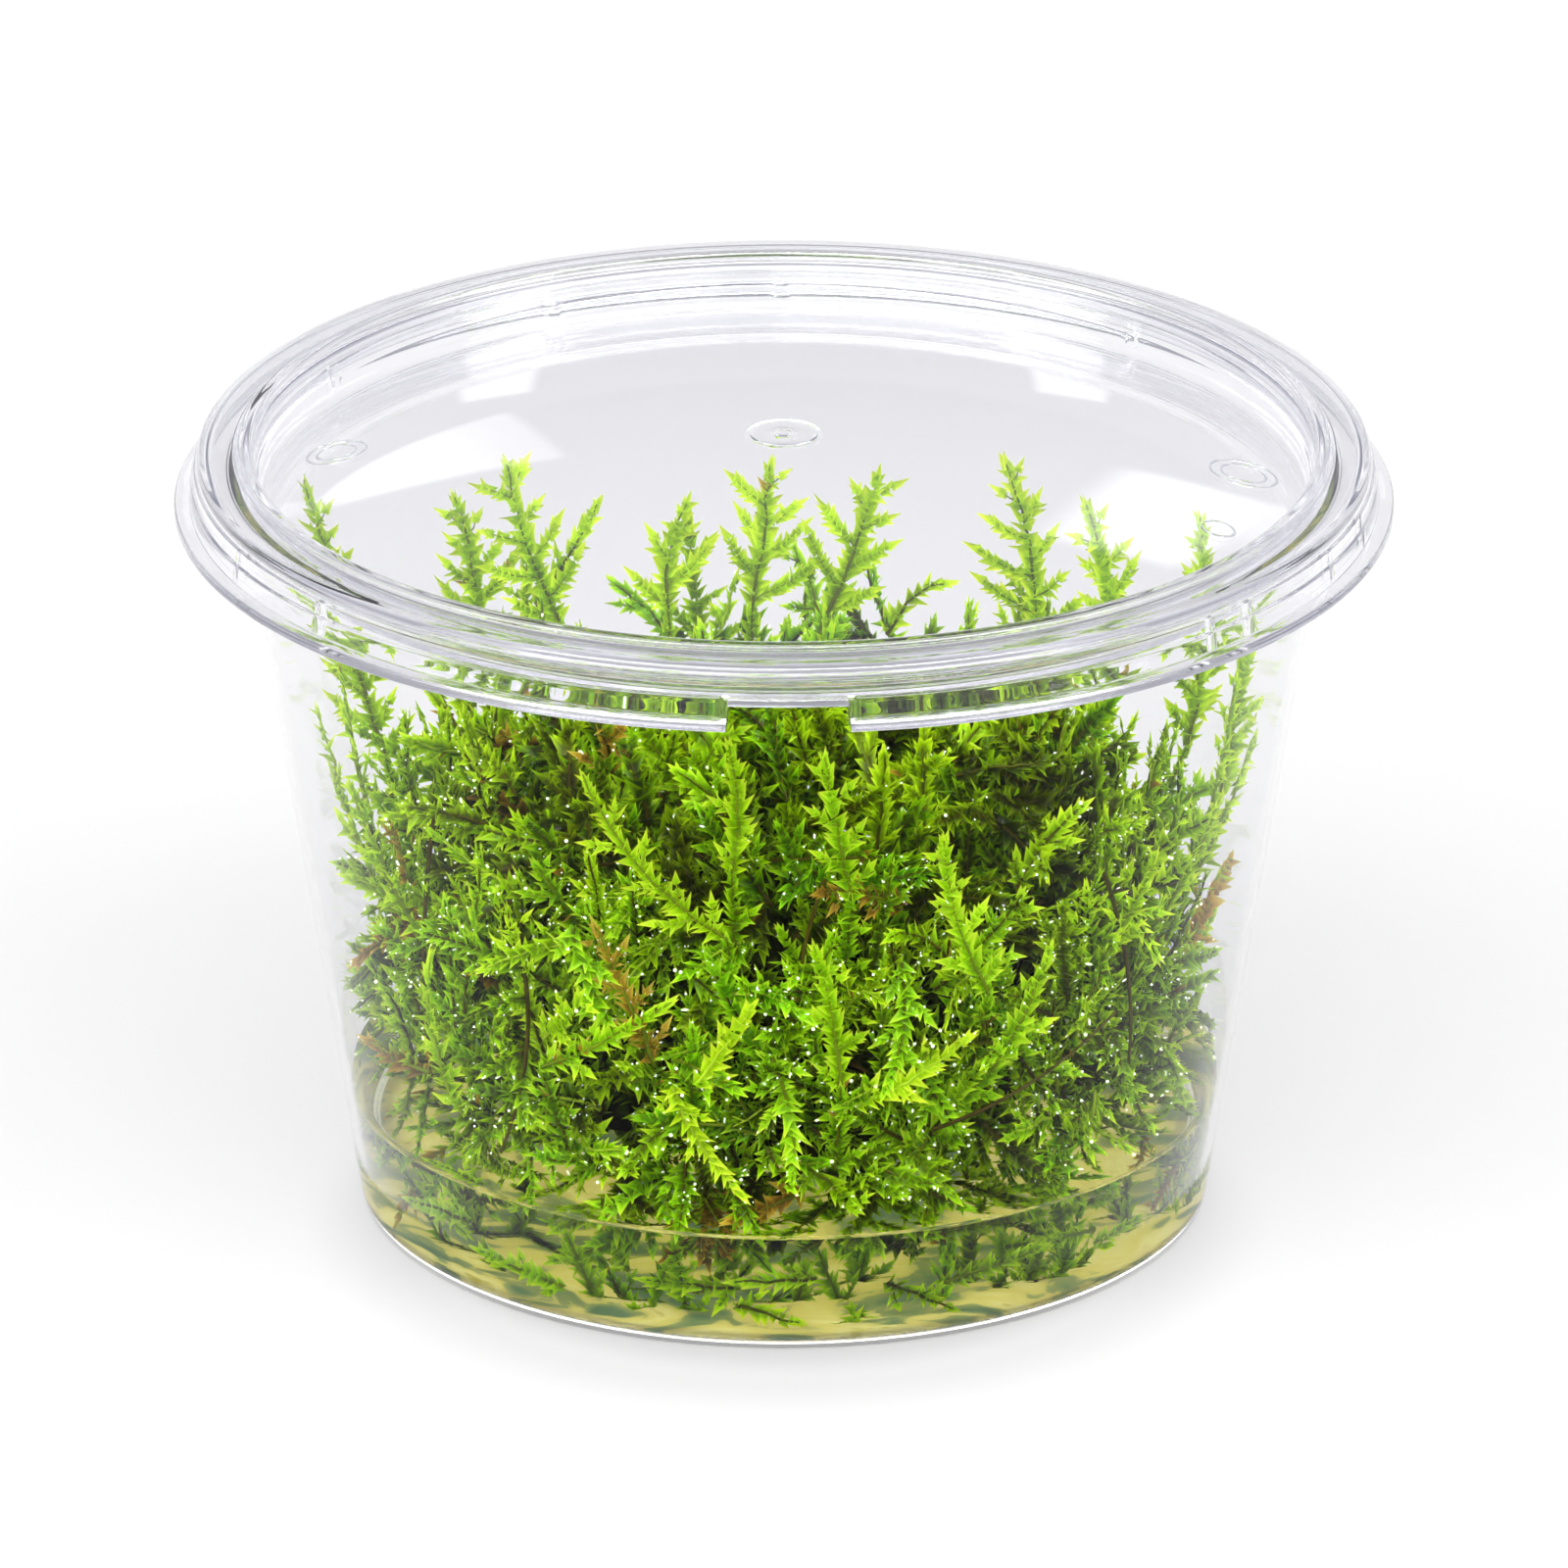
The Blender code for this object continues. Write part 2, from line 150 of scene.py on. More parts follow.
def ring_solid(shape, centre, radius, thick, tall, tilt=(0.0, 0.0), around=40, sides=8):
    """A flat ring lying on the window of the lid, as a torus squashed to its height."""
    rings = []
    for k in range(around):
        a = math.tau * k / around
        loop = []
        for j in range(sides):
            b = math.tau * j / sides
            r = radius + thick * math.cos(b)
            x, y = r * math.cos(a), r * math.sin(a)
            z = tall * math.sin(b) + tilt[0] * x + tilt[1] * y
            loop.append(shape.verts.new((Vector((x, y, z)) + Vector(centre)) * MM))
        rings.append(loop)
    for k in range(around):
        for j in range(sides):
            m, n = (k + 1) % around, (j + 1) % sides
            shape.faces.new((rings[k][j], rings[m][j], rings[m][n], rings[k][n]))


def smooth_by_angle(made, degrees):
    for face in made.data.polygons:
        face.use_smooth = True
    made.data.set_sharp_from_angle(angle=math.radians(degrees))


# ---------------------------------------------------------------- node tools
class Nodes:
    """Short ways to build a shader tree."""

    def __init__(self, tree):
        self.tree = tree
        tree.nodes.clear()

    def add(self, kind, **values):
        node = self.tree.nodes.new(kind)
        for key, value in values.items():
            setattr(node, key, value)
        return node

    def put(self, socket, value):
        if isinstance(value, bpy.types.NodeSocket):
            self.tree.links.new(value, socket)
        elif value is not None:
            socket.default_value = value

    def math(self, how, a, b=None, c=None, clamp=False):
        node = self.add("ShaderNodeMath", operation=how, use_clamp=clamp)
        for socket, value in zip(node.inputs, (a, b, c)):
            self.put(socket, value)
        return node.outputs[0]

    def ramp(self, factor, stops, smooth=False):
        node = self.add("ShaderNodeValToRGB")
        node.color_ramp.interpolation = "EASE" if smooth else "LINEAR"
        while len(node.color_ramp.elements) < len(stops):
            node.color_ramp.elements.new(0.5)
        for element, (at, colour) in zip(node.color_ramp.elements, stops):
            element.position = at
            element.color = (*colour, 1.0) if not isinstance(colour, float) else (colour,) * 3 + (1.0,)
        self.put(node.inputs[0], factor)
        return node.outputs[0]

    def mix(self, factor, a, b, how="MIX"):
        node = self.add("ShaderNodeMix", data_type="RGBA", blend_type=how)
        self.put(node.inputs[0], factor)
        for socket, value in ((node.inputs[6], a), (node.inputs[7], b)):
            if isinstance(value, tuple):
                value = (*value, 1.0)
            self.put(socket, value)
        return node.outputs[2]

    def step(self, value, low, high, to_low=0.0, to_high=1.0, smooth=True):
        node = self.add("ShaderNodeMapRange",
                        interpolation_type="SMOOTHSTEP" if smooth else "LINEAR")
        for socket, v in zip(node.inputs, (value, low, high, to_low, to_high)):
            self.put(socket, v)
        return node.outputs[0]

    def noise(self, vector, scale, detail=3.0, rough=0.55, distortion=0.0):
        node = self.add("ShaderNodeTexNoise")
        self.put(node.inputs["Vector"], vector)
        for key, value in (("Scale", scale), ("Detail", detail), ("Roughness", rough),
                           ("Distortion", distortion)):
            node.inputs[key].default_value = value
        return node.outputs["Fac"]

    def bump(self, height, strength, distance):
        node = self.add("ShaderNodeBump")
        node.inputs["Strength"].default_value = strength
        node.inputs["Distance"].default_value = distance
        self.put(node.inputs["Height"], height)
        return node.outputs[0]


def material(name):
    made = bpy.data.materials.new(name)
    made.use_nodes = True
    return made, Nodes(made.node_tree)


def principled(n, **values):
    node = n.add("ShaderNodeBsdfPrincipled")
    for key, value in values.items():
        key = key.replace("_", " ")
        if isinstance(value, tuple) and len(value) == 3 and "Subsurface Radius" not in key:
            value = (*value, 1.0)
        n.put(node.inputs[key], value)
    return node.outputs[0]


def output(n, surface, volume=None):
    node = n.add("ShaderNodeOutputMaterial")
    n.put(node.inputs["Surface"], surface)
    if volume is not None:
        n.put(node.inputs["Volume"], volume)


# ---------------------------------------------------------------- materials
def clear_plastic(name, tint, ripple, gleam, ior):
    """Moulded clear plastic: see-through, with the faint ripple of a thin moulding.
    The gleam scales how much it mirrors when looked through squarely."""
    made, n = material(name)
    at = n.add("ShaderNodeTexCoord").outputs["Object"]
    wave = n.noise(at, 70.0, 1.0, 0.5)
    gloss = n.step(wave, 0.45, 0.75, 0.0, 0.015)
    shader = principled(n, Base_Color=tint, Roughness=gloss, IOR=ior, Transmission_Weight=1.0,
                        Specular_Tint=(gleam, gleam, gleam * 1.02), Normal=n.bump(wave, ripple, 0.0004))
    output(n, shader)
    return made


def clear_liquid():
    """Water with a pale yellow-green stain."""
    made, n = material("liquid_tinted")
    at = n.add("ShaderNodeTexCoord").outputs["Object"]
    wave = n.noise(at, 160.0, 1.0, 0.5)
    shader = principled(n, Base_Color=(1.0, 1.0, 0.97), Roughness=n.step(wave, 0.4, 0.8, 0.0, 0.02),
                        IOR=1.333, Transmission_Weight=1.0, Specular_Tint=(0.6, 0.6, 0.6),
                        Normal=n.bump(wave, 0.10, 0.0005))
    stain = n.add("ShaderNodeVolumeAbsorption")
    stain.inputs["Color"].default_value = (0.84, 0.90, 0.25, 1.0)
    stain.inputs["Density"].default_value = 36.0
    output(n, shader, stain.outputs[0])
    return made


def bed_material():
    """A pale layer on the floor of the cup, cream with teal-grey patches."""
    made, n = material("bed_cream")
    at = n.add("ShaderNodeTexCoord").outputs["Object"]
    drift = n.noise(at, 95.0, 3.0, 0.5, 1.6)
    fine = n.noise(at, 600.0, 4.0, 0.6)
    colour = n.ramp(n.math("ADD", drift, n.math("MULTIPLY", fine, 0.10)), [
        (0.40, (0.34, 0.46, 0.35)), (0.50, (0.52, 0.58, 0.37)), (0.56, (0.90, 0.84, 0.46)),
        (0.70, (0.96, 0.92, 0.62)), (0.82, (0.66, 0.60, 0.16))], True)
    solid = principled(n, Base_Color=colour, Roughness=n.step(fine, 0.3, 0.7, 0.4, 0.7))
    through = n.add("ShaderNodeBsdfTranslucent")
    n.put(through.inputs["Color"], colour)
    both = n.add("ShaderNodeMixShader")
    n.put(both.inputs[0], 0.78)
    n.put(both.inputs[1], solid)
    n.put(both.inputs[2], through.outputs[0])
    output(n, both.outputs[0])
    return made


def leaf_material(name, gloss=0.16):
    """Thin wet leaves. Tone runs along the first texture axis, from dark to bright:
    partly old and young leaves, partly painted shade deep in the clump and painted
    light at its outside and top; the second runs from cool green to yellow green,
    then to yellowing leaves (from 0.80) and to stems (from 0.90)."""
    made, n = material(name)
    uv = n.add("ShaderNodeUVMap", uv_map="OFBake").outputs[0]
    split = n.add("ShaderNodeSeparateXYZ")
    n.put(split.inputs[0], uv)
    tone, kind = split.outputs[0], split.outputs[1]
    mottle = n.noise(uv, 120.0, 3.0, 0.6)
    tone = n.math("ADD", tone, n.math("MULTIPLY", n.math("SUBTRACT", mottle, 0.5), 0.16))
    cool = n.ramp(tone, [(0.0, (0.003, 0.006, 0.000)), (0.20, (0.018, 0.060, 0.000)),
                         (0.45, (0.085, 0.310, 0.001)), (0.70, (0.250, 0.700, 0.002)),
                         (1.0, (0.620, 0.960, 0.030))])
    warm = n.ramp(tone, [(0.0, (0.012, 0.010, 0.000)), (0.20, (0.075, 0.100, 0.000)),
                         (0.45, (0.260, 0.430, 0.001)), (0.70, (0.520, 0.800, 0.002)),
                         (1.0, (0.860, 0.985, 0.045))])
    green = n.mix(n.step(kind, 0.05, 0.75, smooth=False), cool, warm)
    old = n.ramp(tone, [(0.0, (0.030, 0.014, 0.004)), (0.4, (0.230, 0.110, 0.012)),
                        (0.7, (0.550, 0.330, 0.020)), (1.0, (0.760, 0.620, 0.080))])
    stem = n.ramp(tone, [(0.0, (0.022, 0.013, 0.002)), (0.3, (0.085, 0.060, 0.004)),
                         (0.6, (0.170, 0.230, 0.006)), (1.0, (0.560, 0.760, 0.030))])
    colour = n.mix(n.step(kind, 0.795, 0.805), green, old)
    colour = n.mix(n.step(kind, 0.895, 0.905), colour, stem)
    rough = n.step(mottle, 0.3, 0.7, 0.30, 0.48)
    solid = principled(n, Base_Color=colour, Roughness=rough, IOR=1.42, Specular_IOR_Level=0.04,
                       Coat_Weight=gloss, Coat_Roughness=0.10, Coat_IOR=1.45)
    through = n.add("ShaderNodeBsdfTranslucent")
    n.put(through.inputs["Color"], n.mix(0.25, colour, (0.46, 0.72, 0.00), "ADD"))
    both = n.add("ShaderNodeMixShader")
    n.put(both.inputs[0], 0.40)
    n.put(both.inputs[1], solid)
    n.put(both.inputs[2], through.outputs[0])
    output(n, both.outputs[0])
    return made


def core_material():
    made, n = material("moss_core_dark")
    at = n.add("ShaderNodeTexCoord").outputs["Object"]
    patches = n.noise(at, 420.0, 5.0, 0.62, 0.6)
    colour = n.ramp(patches, [(0.30, (0.003, 0.003, 0.001)), (0.48, (0.010, 0.014, 0.001)),
                              (0.60, (0.030, 0.050, 0.003)), (0.74, (0.060, 0.032, 0.006))])
    shader = principled(n, Base_Color=colour, Roughness=n.step(patches, 0.3, 0.7, 0.75, 0.95),
                        Specular_IOR_Level=0.0, Normal=n.bump(n.noise(at, 900.0, 4.0), 0.8, 0.0006))
    output(n, shader)
    return made


def bead_glint_material():
    made, n = material("water_bead_glint")
    at = n.add("ShaderNodeTexCoord").outputs["Object"]
    shade = n.noise(at, 300.0, 2.0)
    colour = n.mix(n.step(shade, 0.3, 0.7), (0.90, 0.95, 0.66), (1.0, 1.0, 0.88))
    # the beads are near white and glow a little: painted glints
    shader = principled(n, Base_Color=colour, Roughness=0.08, IOR=1.45, Transmission_Weight=0.10,
                        Coat_Weight=1.0, Coat_Roughness=0.03, Coat_IOR=1.6,
                       Emission_Color=(1.0, 1.0, 0.84), Emission_Strength=0.7)
    made.cycles.emission_sampling = "NONE"
    output(n, shader)
    return made


CUP_CLEAR = clear_plastic("cup_clear", (0.938, 0.938, 0.948), 0.02, 0.10, 1.24)
LID_CLEAR = clear_plastic("lid_clear", (0.962, 0.960, 0.984), 0.001, 0.90, 1.46)
LIQUID = clear_liquid()
BED = bed_material()
LEAF = leaf_material("moss_leaf_wet")
CORE = core_material()
BEAD = bead_glint_material()


def finish_piece(piece, mat, slot, *nodes):
    piece.data.materials.clear()
    piece.data.materials.append(mat)
    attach(piece, "root")
    if nodes:
        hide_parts(*nodes)
    return piece


# ---------------------------------------------------------------- cup
def build_cup():
    foot = inner_radius(FLOOR + CORNER)
    profile = [(0.0, FLOOR, 0), (foot, FLOOR, CORNER), (inner_radius(60.8), 60.8, 0.5),
               (inner_radius(61.4) + 0.25, 63.2, 0.35), (inner_radius(61.4) + 0.6, 63.6, 0.2),
               (47.1, 63.6, 0.15), (47.1, 63.2, 0.15), (45.3, 63.2, 0.4),
               (wall_radius(60.4), 60.4, 0.6)]
    # the outer wall, then the rounded corner down to the ring that the cup stands on
    profile += [(35.05, 0.0, 0.35), (33.0, 0.0, 0.2), (32.4, 0.12, 0.2), (0.0, 0.12, 0)]
    cup = turned("cup_fine", rounded(profile, 5), even_angles(240))
    smooth_by_angle(cup, 50)
    return finish_piece(cup, CUP_CLEAR, "cup_plastic", "cup")


# ---------------------------------------------------------------- lid
def dome(r):
    return 66.6 - 5.25 * (r / 42.0) ** 2


TABS = (90.3, 116.8, 149.6, 47.7)                        # in the wall of the recess
RIBS = (-39.6, -24.0, -140.4, -156.0, -45.0, -14.0)      # on the outside of the skirt


RAMP = 0.26                                              # width of their sloping sides


def lid_features():
    """Half widths in radians of the tabs and ribs, and the angles of the notch's sides."""
    left, right, up = NOTCH
    ends = [math.atan2(-math.sqrt(49.0 ** 2 - x * x), x) for x in (left, right)]
    return ends, 0.62 / 49.0, 0.66 / 43.2, 0.46 / 48.5, up


def lid_change(rows, angle):
    """Moves the lid's profile at one angle for the notch, the ribs and the tabs."""
    if angle > math.pi:
        angle -= math.tau
    ends, rim, tab, rib, up = lid_features()
    r, z = rows[:, 0], rows[:, 1]
    skirt = (r > 46.9) & (z < 64.3)
    outer = skirt & (r > 48.0) & (r < 49.2)
    if ends[0] - rim < angle < ends[1] + rim:
        share = min(1.0, (angle - ends[0] + rim) * 49 / RAMP, (ends[1] + rim - angle) * 49 / RAMP)
        r[outer & (z < 62.9)] += 0.30 * share
    if ends[0] < angle < ends[1]:
        low = np.flatnonzero(skirt & (z < up + 0.05))
        r[low] = np.linspace(49.02, 47.66, len(low))
        z[low] = up
    for degrees in RIBS:
        share = (rib - abs(angle - math.radians(degrees))) * 48.5 / RAMP
        if share > 0:
            r[outer & (z > 61.3) & (z < 64.1)] += (0.13 if abs(degrees + 90) < 51 else 0.05) * min(1.0, share)
    for degrees in TABS:
        share = (tab - abs(angle - math.radians(degrees))) * 43.2 / RAMP
        if share > 0:
            r[(r > 42.9) & (r < 43.6) & (z > 61.9) & (z < 63.9) & (rows[:, 2] > 0)] -= 0.14 * min(1.0, share)
    return rows[:, :2]


def sheet(points, thick):
    """The points of a profile, and the same line moved square to it by the thickness."""
    p = np.array(points)
    along = np.gradient(p, axis=0)
    along /= np.linalg.norm(along, axis=1, keepdims=True)
    return p, p + np.stack([along[:, 1], -along[:, 0]], -1) * thick


def build_lid():
    # the window, from its middle mark outwards to the groove
    upper, lower = sheet([(r, dome(r)) for r in np.linspace(3.4, 41.7, 13)], 0.62)
    top = [(0.0, dome(0), 0), (0.62, dome(0.62), 0.05), (0.76, dome(0.7) - 0.05, 0.05),
           (0.92, dome(0.9) - 0.05, 0.05), (1.06, dome(1.1), 0.05), (2.70, dome(2.70), 0.05),
           (2.82, dome(2.82) - 0.06, 0.05), (2.96, dome(2.96) - 0.06, 0.05),
           (3.08, dome(3.08), 0.05)]
    top += [(r, z, 0) for r, z in upper]
    # the recess wall in two low steps, the crest and the broad shoulder
    top += [(42.62, 61.24, 0.2), (42.96, 61.62, 0.25), (43.00, 61.88, 0), (43.01, 61.94, 0),
            (43.06, 62.96, 0.25), (43.30, 63.34, 0.25), (43.34, 63.88, 0), (43.345, 63.94, 0),
            (43.38, 64.72, 0.25), (43.66, 65.85, 0.40), (44.8, 65.85, 0.40), (45.0, 65.35, 0.25)]
    # the skirt with its fine steps, and the flange
    top += [(48.05, 65.35, 0.80), (48.20, 64.12, 0.12), (48.40, 63.98, 0.08), (48.41, 63.90, 0),
            (48.46, 62.96, 0), (48.465, 62.90, 0), (48.47, 62.86, 0.06), (48.66, 62.70, 0.07),
            (48.68, 62.26, 0), (48.69, 62.18, 0), (48.73, 61.34, 0), (48.735, 61.28, 0),
            (48.75, 61.15, 0.10), (50.0, 61.15, 0.26), (50.0, 60.3, 0.26)]
    under = [(47.70, 60.3, 0.30), (47.66, 62.18, 0), (47.658, 62.26, 0), (47.52, 64.30, 0.45),
             (47.1, 64.68, 0.35), (44.36, 64.68, 0.4), (43.98, 64.10, 0.35), (43.94, 63.44, 0.3),
             (43.70, 63.02, 0.3), (43.62, 61.3, 0.35), (43.2, 60.58, 0.35), (42.5, 60.58, 0.3)]
    under += [(r, z, 0) for r, z in lower[::-1]]
    under += [(r, dome(r) - 0.62, 0) for r in (2.4, 1.2)]
    under += [(0.0, dome(0) - 0.62, 0)]
    above, below = rounded(top + under[:1], 4)[:-1], rounded(top[-1:] + under, 3)[1:]
    profile = [(r, z, 1.0) for r, z in above] + [(r, z, 0.0) for r, z in below]

    marks = []
    for x, y, r in ((-36.8, 6.2, 2.45), (-36.8, 6.2, 1.62), (37.7, 1.7, 2.75), (37.7, 1.7, 1.85),
                    (35.4, -11.0, 1.35)):
        slope = -10.5 / 42.0 ** 2
        marks.append(((x, y, dome(math.hypot(x, y)) - 0.03), r, 0.11, 0.11, (slope * x, slope * y)))
    ends, rim, tab, rib, _ = lid_features()
    edges = [ends[0], ends[1], ends[0] - rim, ends[1] + rim,
             ends[0] - rim + RAMP / 49, ends[1] + rim - RAMP / 49]
    for places, half, out in ((RIBS, rib, 48.5), (TABS, tab, 43.2)):
        edges += [math.radians(d) + k * w for d in places for k in (-1, 1) for w in (half, half - RAMP / out)]
    lid = turned("lid_fine", profile, even_angles(496, [e % math.tau for e in edges]),
                 lid_change, marks)
    smooth_by_angle(lid, 32)
    return finish_piece(lid, LID_CLEAR, "lid_plastic", "lid")


# ---------------------------------------------------------------- liquid
def build_liquid():
    """Fills the foot of the cup, with its edge drawn up where it meets the wall."""
    lap = 0.06
    foot = inner_radius(FLOOR + CORNER)
    profile = [(0.0, WATER, 0), (inner_radius(WATER) - 2.4, WATER, 0.8),
               (inner_radius(WATER) - 0.5, WATER + 0.12, 0.4),
               (inner_radius(WATER + 0.75) + lap, WATER + 0.75, 0.05),
               (foot + lap, FLOOR + 0.05, CORNER), (0.0, FLOOR + 0.05, 0)]
    liquid = turned("liquid_fine", rounded(profile, 6), even_angles(160))
    smooth_by_angle(liquid, 60)
    return finish_piece(liquid, LIQUID, "liquid", "liquid")


def build_bed():
    """A thin uneven layer that lies on the floor of the cup, under the liquid."""
    steps, around = 26, 120
    points, faces = [], []
    for side in (0, 1):
        for k in range(steps + 1):
            share = k / steps
            r = 33.9 * share
            for j in range(around):
                a = math.tau * j / around
                x, y = r * math.cos(a), r * math.sin(a)
                rise = 0.30 + 0.22 * math.sin(x * 0.7 + 1.3 * math.sin(y * 0.4)) * math.sin(y * 0.6 + 0.8)
                rise = 0.62 + rise * (1 - share ** 6) + 0.5 * max(0.0, share - 0.9) * 10 * 0.5
                points.append((x, y, rise if side == 0 else min(0.56, rise - 0.05)))
    for side in (0, 1):
        first = side * (steps + 1) * around
        for k in range(steps):
            for j in range(around):
                m = (j + 1) % around
                a, b = first + k * around + j, first + k * around + m
                c, d = a + around, b + around
                faces += [(a, c, d), (a, d, b)] if side == 0 else [(a, d, c), (a, b, d)]
    rim = steps * around
    low = (2 * steps + 1) * around
    for j in range(around):
        m = (j + 1) % around
        faces += [(rim + j, low + j, low + m), (rim + j, low + m, rim + m)]
    bed = mesh_piece("bed_layer", np.array(points), faces)
    return finish_piece(bed, BED, "moss_mat")


# ---------------------------------------------------------------- moss
LEAF_POINTS = np.array([  # along, across, lift: a cupped tooth with a broad foot and a sharp tip
    (-0.10, -1.15, 0.10), (-0.10, 1.15, 0.10), (0.24, 0.00, -0.20),
    (0.36, -0.66, 0.26), (0.36, 0.66, 0.26), (1.00, 0.00, 0.12),
])
LEAF_FACES = np.array([(2, 1, 0), (2, 4, 1), (2, 5, 4), (2, 3, 5), (2, 0, 3)])
# painted light and shade along each leaf: darker at its foot and fold where leaves overlap, brighter and
# yellower at its shoulders and tip, partly the leaf's own paler tip
LEAF_EDGE = np.array((-0.16, -0.16, -0.22, 0.11, 0.11, 0.30))    # tone along the outline
LEAF_WARM = np.array((0.0, 0.0, 0.0, 0.06, 0.06, 0.14))          # and how much yellower it gets


def unit(v):
    return v / np.maximum(np.linalg.norm(v, axis=-1, keepdims=True), 1e-9)


class Growth:
    """Gathers the leaves and twigs of one piece and makes its mesh, in millimetres."""

    def __init__(self):
        self.leaves, self.tubes = [], []

    def add_leaves(self, base, way, face, length, half, curl, tone, kind):
        n = len(base)
        row = np.empty((n, 14))
        row[:, 0:3], row[:, 3:6], row[:, 6:9] = base, way, face
        for k, v in enumerate((length, half, curl, tone, kind)):
            row[:, 9 + k] = v
        self.leaves.append(row)

    def add_tube(self, points, radii, tone, kind=0.95, sides=3):
        self.tubes.append((points, radii, tone, kind, sides))

    def count(self):
        return 5 * sum(len(r) for r in self.leaves) + sum(
            (len(p) - 1) * s * 2 for p, _, _, _, s in self.tubes)

    @staticmethod
    def inside(p, margin):
        """Keeps points clear of the wall of the cup, its floor and the lid."""
        r = np.hypot(p[..., 0], p[..., 1])
        most = inner_radius(np.clip(p[..., 2], 2.0, 60.0)) - margin
        p[..., :2] *= np.minimum(1.0, most / np.maximum(r, 1e-6))[..., None]
        p[..., 2] = np.clip(p[..., 2], 1.4, 59.6)

    def piece(self, name):
        points, faces, uv, start = [], [], [], 0
        if self.leaves:
            rows = np.concatenate(self.leaves)
            base, way, face = rows[:, 0:3], unit(rows[:, 3:6]), rows[:, 6:9]
            length, half, curl, tone, kind = rows[:, 9:14].T
            across = unit(np.cross(way, face))
            lift = np.cross(across, way)
            a, b, c = LEAF_POINTS.T
            along = length[:, None] * a
            wide = half[:, None] * b
            tall = half[:, None] * c + (curl * length)[:, None] * a ** 2
            p = (base[:, None] + way[:, None] * along[:, :, None]
                 + across[:, None] * wide[:, :, None] + lift[:, None] * tall[:, :, None])
            self.inside(p, 0.40)
            t = tone[:, None] + LEAF_EDGE
            k = kind[:, None] + 0.012 * b
            k = np.where(kind[:, None] < 0.79, np.minimum(k + LEAF_WARM, 0.785), k)
            points.append(p.reshape(-1, 3))
            uv.append(np.stack([t, k], -1).reshape(-1, 2))
            faces.append((LEAF_FACES[None] + 6 * np.arange(len(rows))[:, None, None]).reshape(-1, 3))
            start = 6 * len(rows)
        for line, radii, tone, kind, sides in self.tubes:
            along = unit(np.gradient(line, axis=0))
            ref = np.array((0.31, 0.22, 0.93)) if abs(along[:, 2]).mean() < 0.8 else np.array((1.0, 0.2, 0.1))
            u = unit(np.cross(along, ref))
            v = np.cross(along, u)
            angle = math.tau * np.arange(sides) / sides
            ring = (line[:, None] + radii[:, None, None] * (
                u[:, None] * np.cos(angle)[None, :, None] + v[:, None] * np.sin(angle)[None, :, None]))
            self.inside(ring, 0.35)
            points.append(ring.reshape(-1, 3))
            share = np.linspace(0, 1, len(line))[:, None] * np.ones(sides)
            uv.append(np.stack([tone + 0.12 * share + 0.03 * (np.arange(sides) % 2),
                                kind + 0.012 * np.arange(sides) / sides + 0 * share], -1).reshape(-1, 2))
            k, j = np.meshgrid(np.arange(len(line) - 1), np.arange(sides), indexing="ij")
            a0, a1 = k * sides + j, k * sides + (j + 1) % sides
            b0, b1 = a0 + sides, a1 + sides
            quads = np.stack([np.stack([a0, a1, b1], -1), np.stack([a0, b1, b0], -1)], -2)
            faces.append(start + quads.reshape(-1, 3))
            start += len(line) * sides
        uv = np.clip(np.concatenate(uv), 0.004, 0.996)
        return mesh_piece(name, np.concatenate(points), np.concatenate(faces), uv)


def bent(foot, tip, bow, share):
    """Points and headings along a stem from foot to tip whose middle bows out."""
    foot, tip, bow = (np.asarray(v, float) for v in (foot, tip, bow))
    control = (foot + tip) / 2 + bow * 2
    s = np.asarray(share)[:, None]
    point = foot * (1 - s) ** 2 + control * 2 * s * (1 - s) + tip * s ** 2
    return point, unit((control - foot) * (1 - s) + (tip - control) * s)


